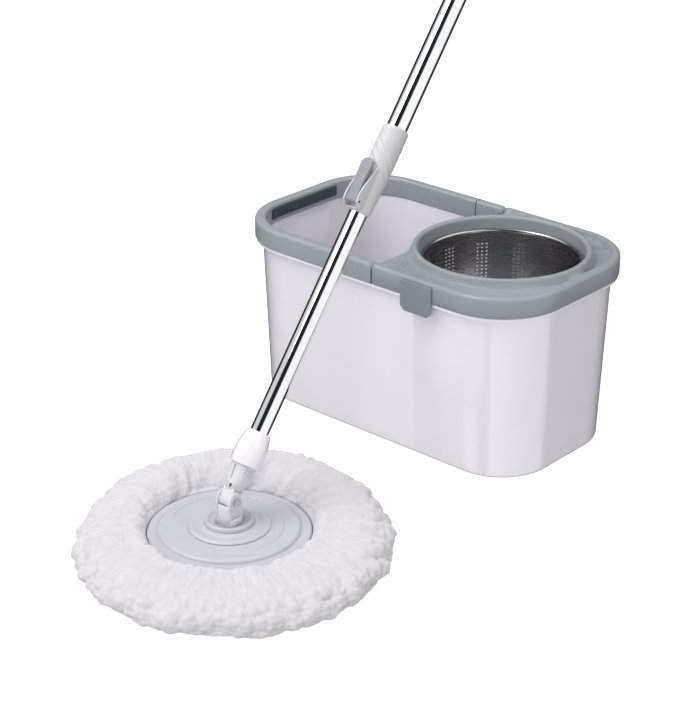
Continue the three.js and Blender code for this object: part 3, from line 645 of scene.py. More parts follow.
def make_cover():
    """The wringer cover: a collar, a sunk deck and a rounded edge, drawn ray by ray from the middle."""
    steps = 432
    across = 34
    inner = COLLAR_INNER / MM
    top, low = COLLAR_TOP / MM, RIM_BOTTOM / MM
    collar_low = low + 7.5
    wall = RIM_WALL / MM
    foot = 112.6
    centre = WRINGER.x / MM
    left_edge = centre - COVER_LEFT / MM
    lip, lip_height = 4.0, 4.5
    vertices = []
    for k in range(steps):
        angle = TURN * k / steps
        c, s = math.cos(angle), math.sin(angle)
        reach = rim_reach(angle)
        edge = left_edge / -c if c < -0.05 else 1e4
        outside = smooth_min(reach, edge, 4.0)
        at_edge = ease((reach - outside) / 6.0)
        outside = -smooth_min(-outside, -(foot + 0.6), 4.0)
        bottom = low + (collar_low - low) * at_edge
        room = outside - foot
        curve = min(5.0 - 2.5 * at_edge, 0.8 * room)
        brink = outside - curve
        shelf = deck_height(centre + foot * c, foot * s)
        points = [Vector((inner, collar_low)), Vector((inner, top - lip_height))]
        for i in range(9):
            turn = math.pi * i / 8
            points.append(Vector((inner + lip - lip * math.cos(turn),
                                  top - lip_height + lip_height * math.sin(turn) ** 0.9)))
        points.append(Vector((inner + 9.2, (top - lip_height + shelf) / 2 + 0.6)))
        for i in range(across):
            r = foot + (brink - foot) * i / (across - 1)
            rise = 1.6 * max(0.0, 1 - (r - foot) / 2.2) ** 2
            points.append(Vector((r, deck_height(centre + r * c, r * s) + rise)))
        shoulder = points[-1].y
        for i in range(1, 7):
            turn = math.pi / 2 * i / 6
            points.append(Vector((brink + curve * math.sin(turn), shoulder - 5.0 * (1 - math.cos(turn)))))
        points += [Vector((outside, bottom + 0.5)), Vector((outside - 0.5, bottom)),
                   Vector((outside - wall, bottom)), Vector((outside - wall - 0.3, shoulder - 5.5)),
                   Vector((max(outside - wall - 2.5, foot - 4), shoulder - 7)),
                   Vector((foot - 4.5, shelf - 4)),
                   Vector((inner + 4, collar_low))]
        for r, z in points:
            vertices.append(Vector((centre + r * c, r * s, z)) * MM)
    faces = grid_faces(steps, len(vertices) // steps, close_rows=True)
    cover = new_object("cover_shell", vertices, faces, RIM_GREY, "bucket", "rim_grey", ["wringer_cover"])
    cover.data.set_sharp_from_angle(angle=math.radians(50))
    return cover


def make_pad(name, node, turn, ribs):
    """A fan of fine raised ribs on the cover."""
    pitch, half_rib, longest, sunk, height = 4.2, 0.7, 8.5, 0.6, 1.5
    centre = middle(node)
    base = deck_height(centre.x / MM, centre.y / MM)
    at = Matrix.Translation((centre.x, centre.y, (base - sunk) * MM))
    at = at @ Matrix.Rotation(math.radians(turn), 4, "Z")
    vertices, faces = [], []
    for i in range(ribs):
        across = (i - (ribs - 1) / 2) * pitch
        reach = longest * math.sqrt(1 - (across / 14) ** 2)
        slant = 0.25 * across
        rib = [(across - half_rib - slant, -reach), (across + half_rib - slant, -reach),
               (across + half_rib + slant, reach), (across - half_rib + slant, reach)]
        add_part(vertices, faces, extruded(rib, height, at))
    pad = new_object(name, vertices, faces, RIM_GREY, "bucket", "rim_grey", [node], smooth=False)
    return bevelled(pad, 0.3, 2)


def make_screw_plate():
    """A plate with three screws at the back corner of the cover, beside the handle's pivot; the screw heads'
    dark grey is painted shade, for the dark of the holes they sit in.
    """
    x, y = COVER_LEFT / MM + 17, RIM_HALF_WIDTH / MM - 23
    base = deck_height(x, y)
    at = Matrix.Translation((x * MM, y * MM, (base - 0.5) * MM))
    screws_across = (-6, 0, 6)
    thick = 1.2
    outline = rounded([(-11, -6, 3), (11, -6, 3), (11, 6, 3), (-11, 6, 3)], steps=5)
    plate = new_object("screw_plate", *extruded(outline, thick, at), RIM_GREY, "bucket", "rim_grey",
                       smooth=False)
    vertices, faces = [], []
    # the screw heads take the comb's dark grey: painted shade for the holes they fill
    for across in screws_across:
        head = circle(1.8, 20, across)
        add_part(vertices, faces, extruded(head, thick, at @ Matrix.Translation((0, 0, 0.3 * MM))))
    screws = new_object("cover_screws", vertices, faces, COMB_DARK, "bucket", "comb_dark", smooth=False)
    bevelled(screws, 0.25, 2)
    for across in screws_across:
        cut(plate, *extruded(circle(2.1, 20, across), 4, at @ Matrix.Translation((0, 0, 0.2 * MM))))
    return bevelled(plate, 0.3, 2)


def make_latch(name, node, side):
    """A side clip: a plate with two chamfered corners and a hook under the tub's flange."""
    low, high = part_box(node)
    left, right, bottom, top = low.x / MM, high.x / MM, low.z / MM, high.z / MM
    outside = max(abs(low.y), abs(high.y)) / MM
    chamfer, hook_height, hook_reach, hook_depth = 6, 2.4, 3, 4
    thick = outside - RIM_HALF_WIDTH / MM - 0.3
    upright = Matrix.Rotation(math.pi / 2, 4, "X")
    plate = [(left + chamfer, bottom), (right - chamfer, bottom), (right, bottom + chamfer),
             (right, top), (left, top), (left, bottom + chamfer)]
    hook = [(left + chamfer, bottom), (right - chamfer, bottom),
            (right - chamfer, bottom + hook_height), (left + chamfer, bottom + hook_height)]
    at_plate = Matrix.Translation((0, (-outside + thick) * MM, 0)) @ upright
    at_hook = Matrix.Translation((0, (-outside + thick + hook_reach) * MM, 0)) @ upright
    vertices, faces = extruded(plate, thick, at_plate)
    add_part(vertices, faces, extruded(hook, hook_depth, at_hook))
    if side > 0:
        vertices = [Vector((v.x, -v.y, v.z)) for v in vertices]
    latch = new_object(name, vertices, faces, LATCH_GREY, node, "latch_grey", [node], smooth=False)
    return bevelled(latch, 1.0, 3)


# ------------------------------------------------------------------ basket

def make_basket():
    """The perforated wall: a ring of cells, some with a round hole, between a floor and a plain band."""
    foot, top_radius = 93.5, 97.5
    floor = basket_low.z / MM
    low, high = 124.0, rim_low.z / MM - 0.3
    plain = 8
    sheet = 0.9
    columns, rows = 104, 19
    pitch_z = (high - plain - low - plain) / rows
    holes_low = low + plain
    holes_high = low + plain + rows * pitch_z
    hole = 1.1
    corners = 12
    step = TURN / columns
    width = (foot + 2) * step
    turns = [TURN * (k + 0.5) / corners for k in range(corners)]
    directions = [(math.cos(t), math.sin(t)) for t in turns]
    reaches = [1 / max(abs(c), abs(s)) for c, s in directions]
    square = [(0.5 * c * reach, 0.5 * s * reach) for (c, s), reach in zip(directions, reaches)]
    ring = [(k, (k + 1) % corners) for k in range(corners)]
    ring_faces = [(k, n, corners + n, corners + k) for k, n in ring]
    vertices, faces = [], []

    def wall(angle, z):
        r = foot + (top_radius - foot) * (z - floor - 6) / (high - floor - 6)
        return Vector((r * math.cos(angle), r * math.sin(angle), z))

    for i in range(columns):
        angle = i * step
        for j in range(rows):
            z = holes_low + j * pitch_z
            cell = [wall(angle + u * step, z + (v + 0.5) * pitch_z) for u, v in square]
            holed = (i % 8) < 3 and 1 <= j < rows - 1
            if not holed:
                add_part(vertices, faces, (cell, [tuple(range(corners))]))
                continue
            edge = [wall(angle + hole * c / width * step, z + 0.5 * pitch_z + hole * s)
                    for c, s in directions]
            add_part(vertices, faces, (cell + edge, ring_faces))

    segments = columns * 2
    around = [TURN * k / segments for k in range(segments)]
    floor_run = [(30.6, floor + sheet), (foot - 9, floor + sheet), (foot - 4, floor + 1.6),
                 (foot - 1.2, floor + 4.5), (foot - 0.1, floor + 8)]
    floor_rings = [[Vector((r * math.cos(a), r * math.sin(a), z)) for a in around] for r, z in floor_run]
    floor_rings.append([wall(a, holes_low) for a in around])
    top_rings = [[wall(a, z) for a in around] for z in (holes_high, (holes_high + high) / 2, high)]
    for rings in (floor_rings, top_rings):
        add_part(vertices, faces, (sum(rings, []), grid_faces(len(rings), segments)))
    placed = [WRINGER + v * MM for v in vertices]
    basket = new_object("basket_wall", placed, faces, STAINLESS, "basket", "stainless", ["basket"])
    solidify = basket.modifiers.new("sheet", "SOLIDIFY")
    solidify.thickness = sheet * MM
    solidify.offset = -1
    baked(basket)
    return sharpened(basket, 40)


def make_basket_rim():
    """The rolled bead on top of the basket."""
    bead = 2.4
    centre_r = (rim_high.x - rim_low.x) / 2 / MM - bead
    z = (rim_low.z + rim_high.z) / 2 / MM
    loop = circle(bead, 16, centre_r, z)
    at = Matrix.Translation(WRINGER)
    return turned_object("basket_bead", loop, STEEL, "basket", "stainless", ["basket_rim"], 128, at)


def make_hub():
    """The hub: a cone on the basket's floor, hollow for the bearing."""
    low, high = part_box("basket_hub")
    z0, z1 = low.z / MM, high.z / MM
    seat = basket_low.z / MM + 1.5
    bore, ceiling = 9.3, z1 - 10
    profile = rounded([
        (bore, z0, 0), (22, z0, 0.5), (22, seat, 0), (32, seat, 0.6), (31, seat + 3, 1.5), (20, seat + 7, 4),
        (14.8, ceiling + 3, 5), (11, z1 - 1, 4), (0, z1, 0), (0, ceiling, 0), (bore, ceiling, 0),
    ], steps=4)
    at = Matrix.Translation(WRINGER)
    return turned_object("hub_cone", profile, RIM_GREY, "basket", "rim_grey", ["basket_hub"], 72, at)


# ------------------------------------------------------------------ mop head

def make_plate():
    """The round plate: a low outer step, a groove and a raised field."""
    base = plate_low.z / MM
    radius = PLATE_RADIUS / MM
    profile = rounded([
        (0, base, 0), (radius - 1, base, 1), (radius, base + 2.4, 1.5), (radius - 2.2, base + 4.4, 2.0),
        (radius - 10, base + 5.0, 0.8), (radius - 11.4, base + 4.0, 0.6), (radius - 12.6, base + 4.0, 0.6),
        (radius - 13.8, base + 7.0, 1.2), (radius - 16.5, base + 8.4, 2.5), (49, base + 8.8, 1),
        (0, base + 8.8, 0),
    ], steps=4)
    return turned_object("plate_disc", profile, PLATE_GREY, "mop_head", "plate_grey", ["mop_plate"], 160,
                         Matrix.Translation(HEAD))


def make_relief():
    """Thin moulded lines on the plate: two arcs round the boss, each ending in a short flick."""
    base = plate_low.z / MM + 8.5
    vertices, faces = [], []

    def bead(path, radius=0.75, ring=8):
        count = len(path)
        rings = []
        for i, centre in enumerate(path):
            ahead = (path[min(i + 1, count - 1)] - path[max(i - 1, 0)]).normalized()
            side = ahead.cross(Vector((0, 0, 1)))
            for k in range(ring):
                turn = TURN * k / ring
                swell = radius * min(1.0, 0.3 + 0.35 * min(i, count - 1 - i))
                upward = Vector((0, 0, math.sin(turn) * swell))
                rings.append((centre + side * math.cos(turn) * swell + upward) * MM + HEAD)
        ends = [tuple(range(ring))[::-1], tuple(range((count - 1) * ring, count * ring))]
        add_part(vertices, faces, (rings, grid_faces(count, ring) + ends))

    def path_round(radius, first, last, steps=40, drift=0.0):
        """An arc about the boss, between two angles in degrees, whose end drifts in or out."""
        points = []
        for i in range(steps + 1):
            t = i / steps
            angle = math.radians(first + (last - first) * t)
            r = radius + drift * t ** 3
            points.append(Vector((r * math.cos(angle), r * math.sin(angle), base)))
        return points

    bead(path_round(68, -95, -20, drift=6))
    bead(path_round(62, -30, 60))
    bead(path_round(71, 150, 205, drift=-3))
    bead(path_round(56, -28, -14, 10, drift=14))
    return new_object("plate_relief", vertices, faces, PLATE_GREY, "mop_head", "plate_grey")


def make_boss():
    """The stepped boss cover in the middle of the plate."""
    low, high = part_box("boss_cover")
    seat, top = low.z / MM, high.z / MM
    profile = rounded([
        (0, seat, 0), (47.2, seat, 0.3), (47, seat + 1.0, 0.6), (43.0, seat + 3.0, 2.5),
        (38, seat + 2.2, 2.0), (34.5, seat + 2.2, 1.5), (30.0, top, 2.0), (0, top, 0),
    ], steps=4)
    return turned_object("boss_disc", profile, PLATE_GREY, "mop_head", "plate_grey", ["boss_cover"], 120,
                         Matrix.Translation(HEAD))


def make_hub_ring():
    """A dished ring with a bright lip, which the fork's foot stands in."""
    low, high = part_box("hub_ring")
    seat, top = low.z / MM, high.z / MM
    profile = rounded([
        (15, seat, 0), (28.4, seat, 0.3), (27.8, top - 1.2, 1.0), (26.2, top, 0.7), (24.8, top - 0.4, 0.8),
        (21.5, seat + 1.4, 2.0), (15, seat + 1.0, 0),
    ], steps=4)
    return turned_object("hub_step", profile, PLATE_GREY, "mop_head", "plate_grey", ["hub_ring"], 96,
                         Matrix.Translation(HEAD))


def make_fork():
    """A rounded foot whose two ears hug the neck's eye and hold the knuckle's pin."""
    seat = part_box("hub_fork")[0].z / MM
    pin_z = KNUCKLE.z / MM
    inner, outer, eye, clear = 8.0, 13.8, 11.2, 8.6
    at = Matrix.Translation(HEAD)
    foot = rounded([(-16.2, -12.5, 6), (16.2, -12.5, 6), (16.2, 12.5, 6), (-16.2, 12.5, 6)], steps=6)
    vertices, faces = extruded(foot, 8.5, at @ Matrix.Translation((0, 0, seat * MM)))
    ear = [(-14, seat + 3), (14, seat + 3), (12.6, seat + 12)]
    ear += arc(eye, 0.0, math.pi, 20, 0.0, pin_z)
    ear += [(-12.6, seat + 12)]
    # the saddle between the ears follows the eye a little way up
    saddle = [(-11.5, seat + 3), (11.5, seat + 3), (10.2, pin_z - 5)]
    saddle += [(clear * math.cos(math.radians(a)), pin_z + clear * math.sin(math.radians(a)))
               for a in range(-38, -143, -8)]
    saddle += [(-10.2, pin_z - 5)]
    for outline, start, end in ((ear, inner, outer), (ear, -outer, -inner),
                                (saddle, -inner - 0.5, inner + 0.5)):
        add_part(vertices, faces, crosswise(outline, start, end, at))
    fork = new_object("knuckle_fork", vertices, faces, NECK_WHITE, "mop_head", "plate_grey", ["hub_fork"],
                      smooth=False)
    # everything is kept inside a domed outline, so that the foot looks turned rather than boxy
    foot_radius, step_in, doming = 15.2, 0.4, 0.034
    for vertex in fork.data.vertices:
        away = (vertex.co - HEAD) / MM
        above = max(away.z - pin_z, 0)
        reach = math.hypot(away.x, away.y)
        limit = foot_radius - step_in * (above > 0) - doming * above ** 2
        if reach > limit:
            vertex.co.x = HEAD.x + away.x * limit / reach * MM
            vertex.co.y = HEAD.y + away.y * limit / reach * MM
    return bevelled(fork, 1.6, 4)


FRINGE_PROFILE = [
    (PLATE_RADIUS / MM + 0.9, 18.0), (PLATE_RADIUS / MM + 1.6, 22.5), (PLATE_RADIUS / MM + 5, 27.5),
    (106, 33), (118, 37), (132, 39), (147, 38.5), (161, 35.5), (173, 30), (181, 22.5), (185.5, 14), (186, 7),
    (183, 2.4), (176, 0.6), (140, 0.5), (100, 0.5), (60, 0.6), (28, 0.8), (25, 2.5), (25, 9.5), (28, 11.4),
    (60, 11.8), (PLATE_RADIUS / MM + 0.4, 12.0), (PLATE_RADIUS / MM + 0.8, 14),
]
FRINGE_TOP_RUN = 13  # the first points of the profile are the pile that shows
VIEW_COS, VIEW_SIN = 0.743, 0.669  # of the camera's azimuth, which the trodden side follows


def tuft(angle, along, width, length, seed):
    """Plump cushions with creases between them, about width by length mm, from -1 to 1."""
    around = 150 / width
    spot = Vector((around * math.cos(angle) + seed, around * math.sin(angle), along / length))
    nearest = noise.voronoi(spot)[0][0]
    return 1 - 2.6 * min(nearest, 0.9) ** 1.6


def spread_out(angle):
    """How much further than its profile the pile lies in one direction: it is trodden out to the front."""
    rightward = VIEW_COS * math.cos(angle) + VIEW_SIN * math.sin(angle)
    forward = VIEW_SIN * math.cos(angle) - VIEW_COS * math.sin(angle)
    return 7 * rightward + 10 * forward - 4 * rightward ** 2 + 8.5 * forward ** 2


def make_fringe():
    """One soft mass of pile: broad puffs, locks with creases between them, pleats beside the plate."""
    columns = 1080
    profile = []
    for i, here in enumerate(FRINGE_PROFILE):
        after = FRINGE_PROFILE[(i + 1) % len(FRINGE_PROFILE)]
        parts = 6 if i < FRINGE_TOP_RUN else 1
        profile += [(here[0] + (after[0] - here[0]) * k / parts, here[1] + (after[1] - here[1]) * k / parts,
                     i + k / parts) for k in range(parts)]
    count = len(profile)
    travelled = [0.0]
    for i in range(1, count):
        travelled.append(travelled[-1] + math.dist(profile[i][:2], profile[i - 1][:2]))
    normals = []
    for i in range(count):
        before, after = profile[i - 3], profile[(i + 3) % count]
        normals.append(Vector((before[1] - after[1], after[0] - before[0])).normalized())
    vertices = []
    for k in range(columns):
        angle = TURN * k / columns
        c, s = math.cos(angle), math.sin(angle)
        back = ease((VIEW_COS * s - VIEW_SIN * c + 0.2) / 1.2)
        for i, (r, z, place) in enumerate(profile):
            shown = ease(min(place / 1.2, (FRINGE_TOP_RUN - place) / 1.5))
            inner = 1 - ease((r - 98) / 38)
            outer = ease((r - 146) / 34)
            if r > 98:
                r += ease((r - 98) / 80) * spread_out(angle)
                z *= 1 + ease((r - 98) / 25) * (0.13 * back - 0.2 * (1 - back))
            if shown > 0:
                along = travelled[i]
                warp = 8 * noise.noise(Vector((3 * c, 3 * s, along / 40)))
                wide = tuft(angle + warp / 300, along + warp, 42, 70 - 20 * outer, 3.0)
                lock = tuft(angle - warp / 250, along - warp, 12.5, 34 - 8 * outer, 11.0)
                crumb = tuft(angle + warp / 400, along + warp, 6.5, 9, 23.0)
                broad = noise.noise(Vector((3.8 * c, 3.8 * s, along / 60 + 5)))
                fold = math.cos(26 * angle + 4 * broad + along / 25) * inner
                fuzz = noise.fractal(Vector((34 * c, 34 * s, along / 5)), 1.0, 2.0, 4)
                lift = (1.8 + 1.4 * outer) * wide + (0.7 + 2.2 * outer) * lock + (0.35 + 0.6 * outer) * crumb
                lift += 2.2 * broad + (0.5 + 1.3 * back) * fold + 0.8 * fuzz - 1.4
                limit = 1.0 if place < 1.5 else 7.0
                lift = max(-7.0, min(limit, lift * shown))
                r += normals[i].x * lift
                z += normals[i].y * lift
            z = max(z, 0.4)
            vertices.append(HEAD + Vector((r * c, r * s, z)) * MM)
    faces = grid_faces(columns, count, close_rows=True)
    return new_object("fringe_pile", vertices, faces, FIBRE, "mop_head", "microfibre", ["fringe"])


# ------------------------------------------------------------------ knuckle neck and bell

def along_pole(profile, name, material, body, slot, replaces, segments=96, steps=4):
    """A lathe about the pole; the profile's heights are stations along the pole from the knuckle."""
    outline = rounded(profile, steps=steps)
    return turned_object(name, outline, material, body, slot, replaces, segments, POLE_FRAME)


def make_neck():
    """The neck: an eye round the pin and a squarish slotted shaft that widens up into the bell."""
    top = stations_of("bell_socket")[0] - 0.3
    eye, half = 8.2, 7.7
    tongue = arc(eye, math.pi, TURN, 20)
    tongue += [(8.0, 9), (8.4, 18), (-8.4, 18), (-8.0, 9)]
    vertices, faces = crosswise(tongue, -half, half)
    around = 64
    squareness = 0.6
    stations = [(11.2, 7.4, 7.6), (13, 9.0, 8.8), (18, 10.0, 9.6), (26, 11.2, 10.6), (34, 12.4, 11.8),
                (top, 13.2, 12.9)]
    shaft = []
    for z, wide, deep in stations:
        for k in range(around):
            c, s = math.cos(TURN * k / around), math.sin(TURN * k / around)
            x = wide * math.copysign(abs(c) ** squareness, c)
            y = deep * math.copysign(abs(s) ** squareness, s)
            shaft.append(POLE_FRAME @ (Vector((x, y, z)) * MM))
    shaft_faces = grid_faces(len(stations), around)
    shaft_faces.append(tuple(range(around))[::-1])
    shaft_faces.append(tuple(range(len(shaft) - around, len(shaft))))
    add_part(vertices, faces, (shaft, shaft_faces))
    neck = new_object("neck_body", vertices, faces, NECK_WHITE, "lower_pole", "sleeve_white",
                      ["knuckle_neck"], smooth=False)
    # one slot and a small window on the upper face, grooves down the side, and the pin's hole
    slot = [(-3.4, 22), (-1.6, 22), (-0.8, 39), (-3.6, 39)]
    window = rounded([(-1.2, 13.5, 1), (2.8, 13.5, 1), (2.8, 17.5, 1), (-1.2, 17.5, 1)], steps=3)
    for outline, y, depth in ((slot, -8.2, 8), (window, -5.5, 9)):
        face_out = Matrix.Translation((0, y * MM, 0)) @ Matrix.Rotation(math.pi / 2, 4, "X")
        cut(neck, *extruded(outline, depth, POLE_FRAME @ face_out))
    for y in (-7.0, -2.0, 3.0):
        groove = [(y - 1.0, 19), (y + 1.0, 19), (y + 1.2, 39), (y - 1.2, 39)]
        cut(neck, *crosswise(groove, 10.9, 16.9))
    cut(neck, *crosswise(circle(3.3, 24), -20, 20))
    return bevelled(neck, 0.5, 3)


def make_bell():
    """The bell-shaped socket that the lower tube stands in."""
    foot, top = stations_of("bell_socket")
    seat = stations_of("lower_tube")[0] - 0.3
    return along_pole([
        (0, foot, 0), (16.6, foot, 0.8), (18.0, foot + 1.6, 1.2), (19.0, foot + 13, 14),
        (18.2, foot + 25, 14), (15.4, top - 5, 8), (13.6, top, 1.5), (11.3, top, 0.5),
        (11.3, seat, 0), (0, seat, 0),
    ], "bell_cup", PEARL, "lower_pole", "pearl_white", ["bell_socket"], 112, 8)


# ------------------------------------------------------------------ tubes, sleeve and lever

def make_tube(name, node, outer, inner, body):
    """A thin chrome tube with rolled ends, along the pole."""
    low, high = stations_of(node)
    edge = (outer - inner) * 0.45
    return along_pole([(inner, low, edge), (outer, low, edge), (outer, high, edge), (inner, high, edge)],
                      name, CHROME, body, "chrome", [node], 180)


def make_sleeve():
    """The locking sleeve: slanting bands on its upper part, and a stepped bore for the two tubes."""
    bottom, top = stations_of("lock_sleeve")
    step = stations_of("upper_tube")[0] - 1
    narrow, wide = 11.3, 12.8
    foot_radius, swell, swell_length = 13.6, 2.3, 55
    bands_from, bands_to, fade = 392, top - 14, 8
    band_pitch, band_slant, band_height = 11, 9, 0.75
    stations = 122
    around = 216
    outer = []
    for i in range(stations + 1):
        z = bottom + (top - bottom) * (i / stations)
        radius = foot_radius + swell * min(max((z - bottom) / swell_length, 0), 1) ** 0.8
        if z < bottom + 2:
            radius -= 1.2 * (1 - (z - bottom) / 2) ** 2
        if z > top - 3:
            radius -= 1.6 * ((z - top + 3) / 3) ** 2
        outer.append((radius, z))
    inner = [(wide, top), (wide, step), (narrow, step), (narrow, bottom)]
    vertices = []
    for k in range(around):
        angle = TURN * k / around
        banded = []
        for radius, z in outer:
            # broad slanting bands, fading out at both ends of their run
            band = ease((z - bands_from) / fade) * ease((bands_to - z) / fade)
            phase = math.sin(TURN * z / band_pitch + band_slant * angle)
            banded.append((radius + band_height * band * (ease(phase * 1.6 + 0.5) - 0.5), z))
        for radius, z in banded + inner:
            spot = Vector((radius * math.cos(angle), radius * math.sin(angle), z))
            vertices.append(POLE_FRAME @ (spot * MM))
    faces = grid_faces(around, len(outer) + len(inner), close_rows=True)
    sleeve = new_object("sleeve_body", vertices, faces, SLEEVE_WHITE, "upper_pole", "sleeve_white",
                        ["lock_sleeve"])
    sleeve.data.set_sharp_from_angle(angle=math.radians(60))
    return sleeve


def make_cheeks():
    """Two cheeks on the sleeve's front that carry the lever's pin, and the wall across their foot."""
    bottom = stations_of("lock_sleeve")[0]
    hinge_y, hinge_z = HINGE.y, HINGE.z
    inner, outer, heel = 8.5, 10.7, 4.8
    cheek = [(-9.0, bottom + 1.0), (-13.6, bottom + 0.6), (hinge_y + 1.5, bottom + 1.2)]
    cheek += [(hinge_y + heel * math.cos(math.radians(a)), hinge_z + heel * math.sin(math.radians(a)))
              for a in range(-110, -181, -14)]
    cheek += [(-24.9, hinge_z + 8), (-23.6, hinge_z + 16), (-20.5, hinge_z + 26), (-17.0, hinge_z + 36),
              (-14.5, hinge_z + 44), (-12.0, hinge_z + 50), (-9.0, hinge_z + 50)]
    wall = [(-10.0, bottom + 0.6), (-14.5, bottom + 0.6), (-17.5, bottom + 1.0), (-16.6, bottom + 2.6),
            (-10.0, bottom + 2.6)]
    vertices, faces = [], []
    for outline, start, end in ((cheek, -outer, -inner), (cheek, inner, outer),
                                (wall, -inner - 0.6, inner + 0.6)):
        add_part(vertices, faces, crosswise(outline, start, end))
    cheeks = new_object("sleeve_cheeks", vertices, faces, SLEEVE_WHITE, "upper_pole", "sleeve_white",
                        smooth=False)
    return bevelled(cheeks, 0.6, 3)


def make_lever():
    """The lever: a blade with a round heel on the pin, a slight waist and a lifted round tip."""
    hinge_y, hinge_z, length = HINGE.y, HINGE.z, 52.0
    rows = 44
    heel = 3.2
    half = 8.0
    loop = rounded([(-1, -1, 0.5), (1, -1, 0.5), (1, 1, 0.3), (-1, 1, 0.3)], steps=5)
    count = len(loop)
    vertices = []
    for i in range(rows + 1):
        t = i / rows
        z = hinge_z - heel + (length + heel) * t
        lift = 1.2 * math.sin(math.pi * t) + 1.8 * t * t
        thick = heel - 0.6 * t
        width = half - 0.9 * math.sin(math.pi * min(t * 1.25, 1))
        past_tip = z - (hinge_z + length - half)
        if past_tip > 0:
            width = max(math.sqrt(max(half ** 2 - past_tip ** 2, 0.04)), 0.2)
            thick *= 1 - 0.35 * (past_tip / half) ** 2
        below = hinge_z - z
        if below > 0:
            thick = max(math.sqrt(max(heel ** 2 - below ** 2, 0.04)), 0.2)
        for u, v in loop:
            y = hinge_y - lift - v * thick
            vertices.append(POLE_FRAME @ (Vector((u * width, y, z)) * MM))
    faces = grid_faces(rows + 1, count)
    faces.append(tuple(range(count))[::-1])
    faces.append(tuple(range(rows * count, (rows + 1) * count)))
    lever = new_object("lever_blade", vertices, faces, LEVER_GREY, "lock_lever", "lever_grey", ["lock_lever"])
    lever.data.set_sharp_from_angle(angle=math.radians(55))
    return lever


def make_grip():
    """The grip: a sleeve with shallow rings round it."""
    low, high, radius, bore = 952.0, 1086.0, 15.5, 12.8
    groove, plain_end, rings = 0.9, 8, 18
    pitch = (high - low - 2 * plain_end) / rings
    profile = [(bore, low, 0.4), (14.0, low, 0.8), (radius, low + 3, 1.5)]
    for i in range(rings):
        z = low + plain_end + i * pitch
        profile += [(radius, z, 0.6), (radius - groove, z + 0.25 * pitch, 0.6),
                    (radius - groove, z + 0.5 * pitch, 0.6), (radius, z + 0.75 * pitch, 0.6)]
    profile += [(radius, high - 3, 1.5), (14.0, high, 0.8), (bore, high, 0.4)]
    return along_pole(profile, "grip_ribbed", GRIP_GREY, "upper_pole", "grip_grey", ["pole_grip"], 72, 2)


def make_cap():
    """The end cap: a plug in the tube, a collar on the grip and a flat loop with the hanging hole."""
    seat, top, half_width = 1086.3, 1126.0, 12
    hole_z = top - half_width
    collar = rounded([
        (0, 1062, 0), (11.2, 1062, 0.6), (11.2, seat, 0.2), (15, seat, 0.8), (15, seat + 5, 2.0),
        (12, seat + 7, 1.5), (0, seat + 7, 0),
    ], steps=4)
    vertices, faces = turned(collar, 64, POLE_FRAME)
    loop = [(-half_width, seat + 3), (half_width, seat + 3)]
    loop += arc(half_width, 0.0, math.pi, 24, 0.0, hole_z)
    add_part(vertices, faces, crosswise(loop, -4.5, 4.5))
    cap = new_object("cap_loop", vertices, faces, RIM_GREY, "upper_pole", "rim_grey", ["end_cap"],
                     smooth=False)
    cut(cap, *crosswise(circle(5, 32, 0.0, hole_z), -20, 20))
    return bevelled(cap, 1.0, 3)


# ------------------------------------------------------------------ floor, light and camera

def make_floor():
    """A white floor that only the camera sees."""
    material, _, _, principled = shader("floor_white")
    principled.inputs["Base Color"].default_value = (0.5, 0.5, 0.5, 1)
    principled.inputs["Roughness"].default_value = 0.9
    principled.inputs["Specular IOR Level"].default_value = 0.0
    principled.inputs["Emission Color"].default_value = (1, 1, 1, 1)
    principled.inputs["Emission Strength"].default_value = 0.78
    half = 12.0
    mesh = bpy.data.meshes.new("floor")
    mesh.from_pydata([(-half, -half, 0), (half, -half, 0), (half, half, 0), (-half, half, 0)], [],
                     [(0, 1, 2, 3)])
    mesh.materials.append(material)
    floor = bpy.data.objects.new("floor", mesh)
    floor.visible_glossy = False
    floor.visible_diffuse = False
    bpy.context.scene.collection.objects.link(floor)


def tent_material():
    """Light and dark bands by the angle about the pole's axis, in degrees, with their strength."""
    bands = [(-180, 0.03), (-54, 0.03), (-44, 1.15), (44, 1.15), (52, 0.02), (93, 0.02), (101, 0.8),
             (148, 0.8), (158, 0.04), (180, 0.03)]
    material = bpy.data.materials.new("tent_bands")
    material.use_nodes = True
    nodes, links = material.node_tree.nodes, material.node_tree.links
    nodes.clear()
    place = nodes.new("ShaderNodeTexCoord")
    output = nodes.new("ShaderNodeOutputMaterial")
    emission = nodes.new("ShaderNodeEmission")
    turn = nodes.new("ShaderNodeMath")
    turn.operation = "ARCTAN2"
    across, upward = Vector((1, 0, 0)), Vector((0, -POLE_AXIS.z, POLE_AXIS.y))
    for socket, direction in ((1, across), (0, upward)):
        dot = nodes.new("ShaderNodeVectorMath")
        dot.operation = "DOT_PRODUCT"
        dot.inputs[1].default_value = direction
        links.new(place.outputs["Object"], dot.inputs[0])
        links.new(dot.outputs["Value"], turn.inputs[socket])
    span = nodes.new("ShaderNodeMapRange")
    span.inputs["From Min"].default_value = -math.pi
    span.inputs["From Max"].default_value = math.pi
    ramp = nodes.new("ShaderNodeValToRGB")
    elements = ramp.color_ramp.elements
    elements[0].color = (*grey(bands[0][1]), 1)
    elements[1].color = (*grey(bands[-1][1]), 1)
    for degrees, strength in bands[1:-1]:
        element = elements.new((degrees + 180) / 360)
        element.color = (*grey(strength), 1)
    links.new(turn.outputs["Value"], span.inputs["Value"])
    links.new(span.outputs["Result"], ramp.inputs["Fac"])
    links.new(ramp.outputs["Color"], emission.inputs["Color"])
    links.new(emission.outputs["Emission"], output.inputs["Surface"])
    material.cycles.emission_sampling = "NONE"
    return material


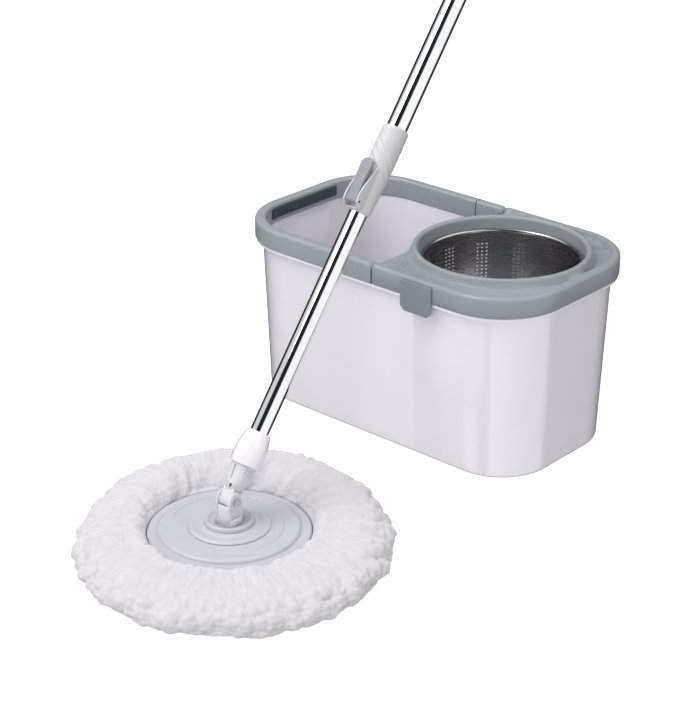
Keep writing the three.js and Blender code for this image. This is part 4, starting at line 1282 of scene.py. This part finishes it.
def make_tent():
    """A tent round everything, that only reflections see."""
    bm = bmesh.new()
    bmesh.ops.create_uvsphere(bm, u_segments=48, v_segments=24, radius=9.0)
    mesh = bpy.data.meshes.new("tent")
    bm.to_mesh(mesh)
    bm.free()
    mesh.materials.append(tent_material())
    tent = bpy.data.objects.new("tent", mesh)
    tent.visible_camera = False
    tent.visible_diffuse = False
    tent.visible_transmission = False
    tent.visible_shadow = False
    bpy.context.scene.collection.objects.link(tent)


def area_light(name, location, target, size, power):
    """A square light at a place, aimed at a target; metres and watts."""
    data = bpy.data.lights.new(name, "AREA")
    data.energy = power
    data.shape = "RECTANGLE"
    data.size = size
    data.size_y = size
    light = bpy.data.objects.new(name, data)
    light.location = location
    light.rotation_euler = (Vector(target) - Vector(location)).to_track_quat("-Z", "Y").to_euler()
    bpy.context.scene.collection.objects.link(light)
    return light


def make_light():
    """An even white surround, a large key light and two weak fills that reflections don't see."""
    world = bpy.data.worlds.new("studio")
    world.use_nodes = True
    world.node_tree.nodes["Background"].inputs["Color"].default_value = (1, 1, 1, 1)
    world.node_tree.nodes["Background"].inputs["Strength"].default_value = 0.66
    bpy.context.scene.world = world
    area_light("key", (-0.8, -1.7, 2.6), (0, -0.1, 0.1), 1.8, 40)
    top = area_light("top", (-0.02, 0.02, 1.35), (0, 0, 0), 0.6, 4.8)
    top.visible_glossy = False
    front = area_light("front", (1.3, -2.3, 0.9), (0.1, -0.1, 0.1), 1.2, 12)
    front.visible_glossy = False


def make_camera():
    """The camera that the photo was fitted with."""
    azimuth, elevation = math.radians(42.03), math.radians(24.67)
    data = bpy.data.cameras.new("photo_view")
    data.sensor_width = 36.0
    data.sensor_fit = "AUTO"
    data.lens = 99.2
    data.clip_end = 50
    camera = bpy.data.objects.new("photo_view", data)
    camera.location = (1.4637, -1.8014, 1.1319)
    level = math.cos(elevation)
    back = Vector((math.sin(azimuth) * level, -math.cos(azimuth) * level, math.sin(elevation)))
    camera.rotation_euler = back.to_track_quat("Z", "Y").to_euler()
    bpy.context.scene.collection.objects.link(camera)
    bpy.context.scene.camera = camera
    bpy.context.scene.view_settings.view_transform = "Standard"
    return camera


make_tub()
make_handle()
make_comb()
make_cover()
make_pad("pad_front", "thumb_pad_front", 40, 4)
make_pad("pad_back", "thumb_pad_back", 40, 5)
make_screw_plate()
make_latch("clip_front", "latch_front", -1)
make_latch("clip_back", "latch_back", 1)
make_basket()
make_basket_rim()
make_hub()
make_plate()
make_relief()
make_boss()
make_hub_ring()
make_fork()
make_fringe()
make_neck()
make_bell()
make_tube("tube_lower", "lower_tube", 11.0, 10.0, "lower_pole")
make_tube("tube_upper", "upper_tube", 12.5, 11.6, "upper_pole")
make_sleeve()
make_cheeks()
make_lever()
make_grip()
make_cap()
make_floor()
make_tent()
make_light()
make_camera()
